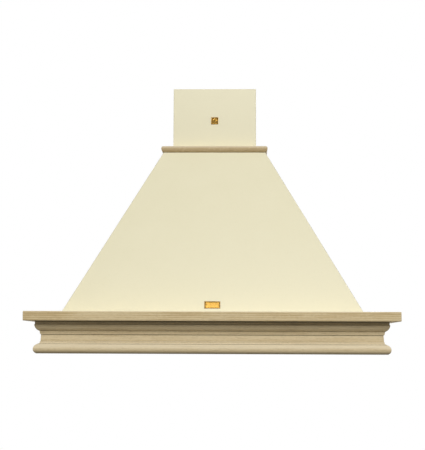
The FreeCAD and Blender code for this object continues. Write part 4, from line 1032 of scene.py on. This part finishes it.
def rosette(u, v, half_u, half_v):
    """The height and the patina of a flower in a border of pearls."""
    from_edge = min(half_u - abs(u), half_v - abs(v))
    height = mix(plate_edge_height, pearl_border_height, rise(from_edge, 0.0, 0.4))
    past_border = rise(from_edge, pearl_border_width, pearl_border_width + 0.4)
    height = mix(height, flower_field_height, past_border)
    patina = rise(from_edge, pearl_border_width - 0.1, pearl_border_width + 0.5)
    pearl_line = half_u - pearl_inset
    pitch = 2 * pearl_line / pearls_on_a_side
    along, across = sorted((u, v), key=abs)
    from_pearl = math.hypot(along - round(along / pitch) * pitch, abs(across) - pearl_line)
    if from_pearl < pearl_radius:
        height = pearl_foot_height + pearl_rise * dome(from_pearl, pearl_radius)
    radius = math.hypot(u, v)
    on_petal = abs(math.cos(petals / 2 * math.atan2(v, u)))  # one on its middle line, zero beside it
    reach = flower_radius * mix(0.5, 1.0, math.sqrt(on_petal))
    if radius < reach:
        height = flower_field_height + petal_rise * dome(radius, reach) * mix(0.45, 1.0, on_petal)
        patina = 1 - rise(on_petal, 0.05, 0.4)
    if radius < eye_hollow_radius:
        height, patina = eye_hollow_height, 1.0
    if radius < eye_radius:
        height, patina = eye_foot_height + eye_rise * dome(radius, eye_radius), 0.0
    return height, patina


def bordered_field(u, v, half_u, half_v):
    """The height and the patina of an empty field in a raised border, with a pin at each end."""
    from_edge = min(half_u - abs(u), half_v - abs(v))
    height = mix(name_edge_height, 1.0, rise(from_edge, 0.0, name_border_width / 2))
    height = mix(height, groove_floor_height, rise(from_edge, name_border_width, name_border_width + 0.8))
    height = mix(height, name_field_height, rise(from_edge, name_field_inset - 0.4, name_field_inset))
    patina = mix(0.6, 0.4, rise(from_edge, 0.4, 1.0))
    patina += 0.4 * dome(from_edge - groove_middle, groove_reach)
    patina -= 0.05 * rise(from_edge, name_field_inset - 0.8, name_field_inset)
    from_pin = math.hypot(abs(u) - (half_u - pin_inset), v)
    if from_pin < pin_radius:
        height = max(height, name_field_height + pin_rise * dome(from_pin, pin_radius))
    return height, patina


def stamped(node, relief):
    """A plate in the drawn one's place whose front follows the relief."""
    mesh = nodes[node].data
    right = Vector((1, 0, 0))
    out = Vector((0, 0, 0))
    for face in mesh.polygons:
        faces_the_room = face.normal.y < -0.7
        if faces_the_room:
            out += face.normal * face.area
    out.normalize()
    axes = [right, out.cross(right), out]
    lows = [min(vertex.co.dot(axis) for vertex in mesh.vertices) for axis in axes]
    highs = [max(vertex.co.dot(axis) for vertex in mesh.vertices) for axis in axes]
    half_u, half_v = [(highs[i] - lows[i]) / 2 for i in range(2)]
    columns = round(2 * half_u / stamp_step)
    rows = round(2 * half_v / stamp_step)
    back_middle = sum((axes[i] * (lows[i] + highs[i]) / 2 for i in range(2)), axes[2] * lows[2])
    patina = []

    def corner(column, row, on_front):
        """A point of the plate's front or back at one crossing of the grid. Notes its patina."""
        u = (2 * column / columns - 1) * half_u
        v = (2 * row / rows - 1) * half_v
        height, dark = 0.0, 1.0
        if on_front:
            height, dark = relief(u / mm, v / mm, half_u / mm, half_v / mm)
        patina.append(dark)
        return back_middle + axes[0] * u + axes[1] * v + axes[2] * height * (highs[2] - lows[2])

    shape = bmesh.new()
    front = []
    for i in range(columns + 1):
        front.append([shape.verts.new(corner(i, j, True)) for j in range(rows + 1)])
    for i in range(columns):
        for j in range(rows):
            shape.faces.new([front[i][j], front[i + 1][j], front[i + 1][j + 1], front[i][j + 1]])
    rim = [(i, 0) for i in range(columns)] + [(columns, j) for j in range(rows)]
    rim += [(i, rows) for i in range(columns, 0, -1)] + [(0, j) for j in range(rows, 0, -1)]
    back = [shape.verts.new(corner(i, j, False)) for i, j in rim]
    for here, (i, j) in enumerate(rim):
        after = (here + 1) % len(rim)
        next_i, next_j = rim[after]
        shape.faces.new([front[i][j], back[here], back[after], front[next_i][next_j]])
    shape.faces.new(back)
    bmesh.ops.recalc_face_normals(shape, faces=shape.faces)
    plate = mesh_from(shape, node)
    plate.attributes.new("patina", "FLOAT", "POINT")
    plate.attributes["patina"].data.foreach_set("value", patina)
    plate.materials.append(finishes[slot_of_node[node]])
    return plate


plates = {"chimney_badge": ("rosette_badge", rosette), "name_plate": ("bordered_plate", bordered_field)}
for node, (name, relief) in plates.items():
    plate = put_in(name, stamped(node, relief), node)
    print(plate.name, len(plate.data.polygons), "faces")
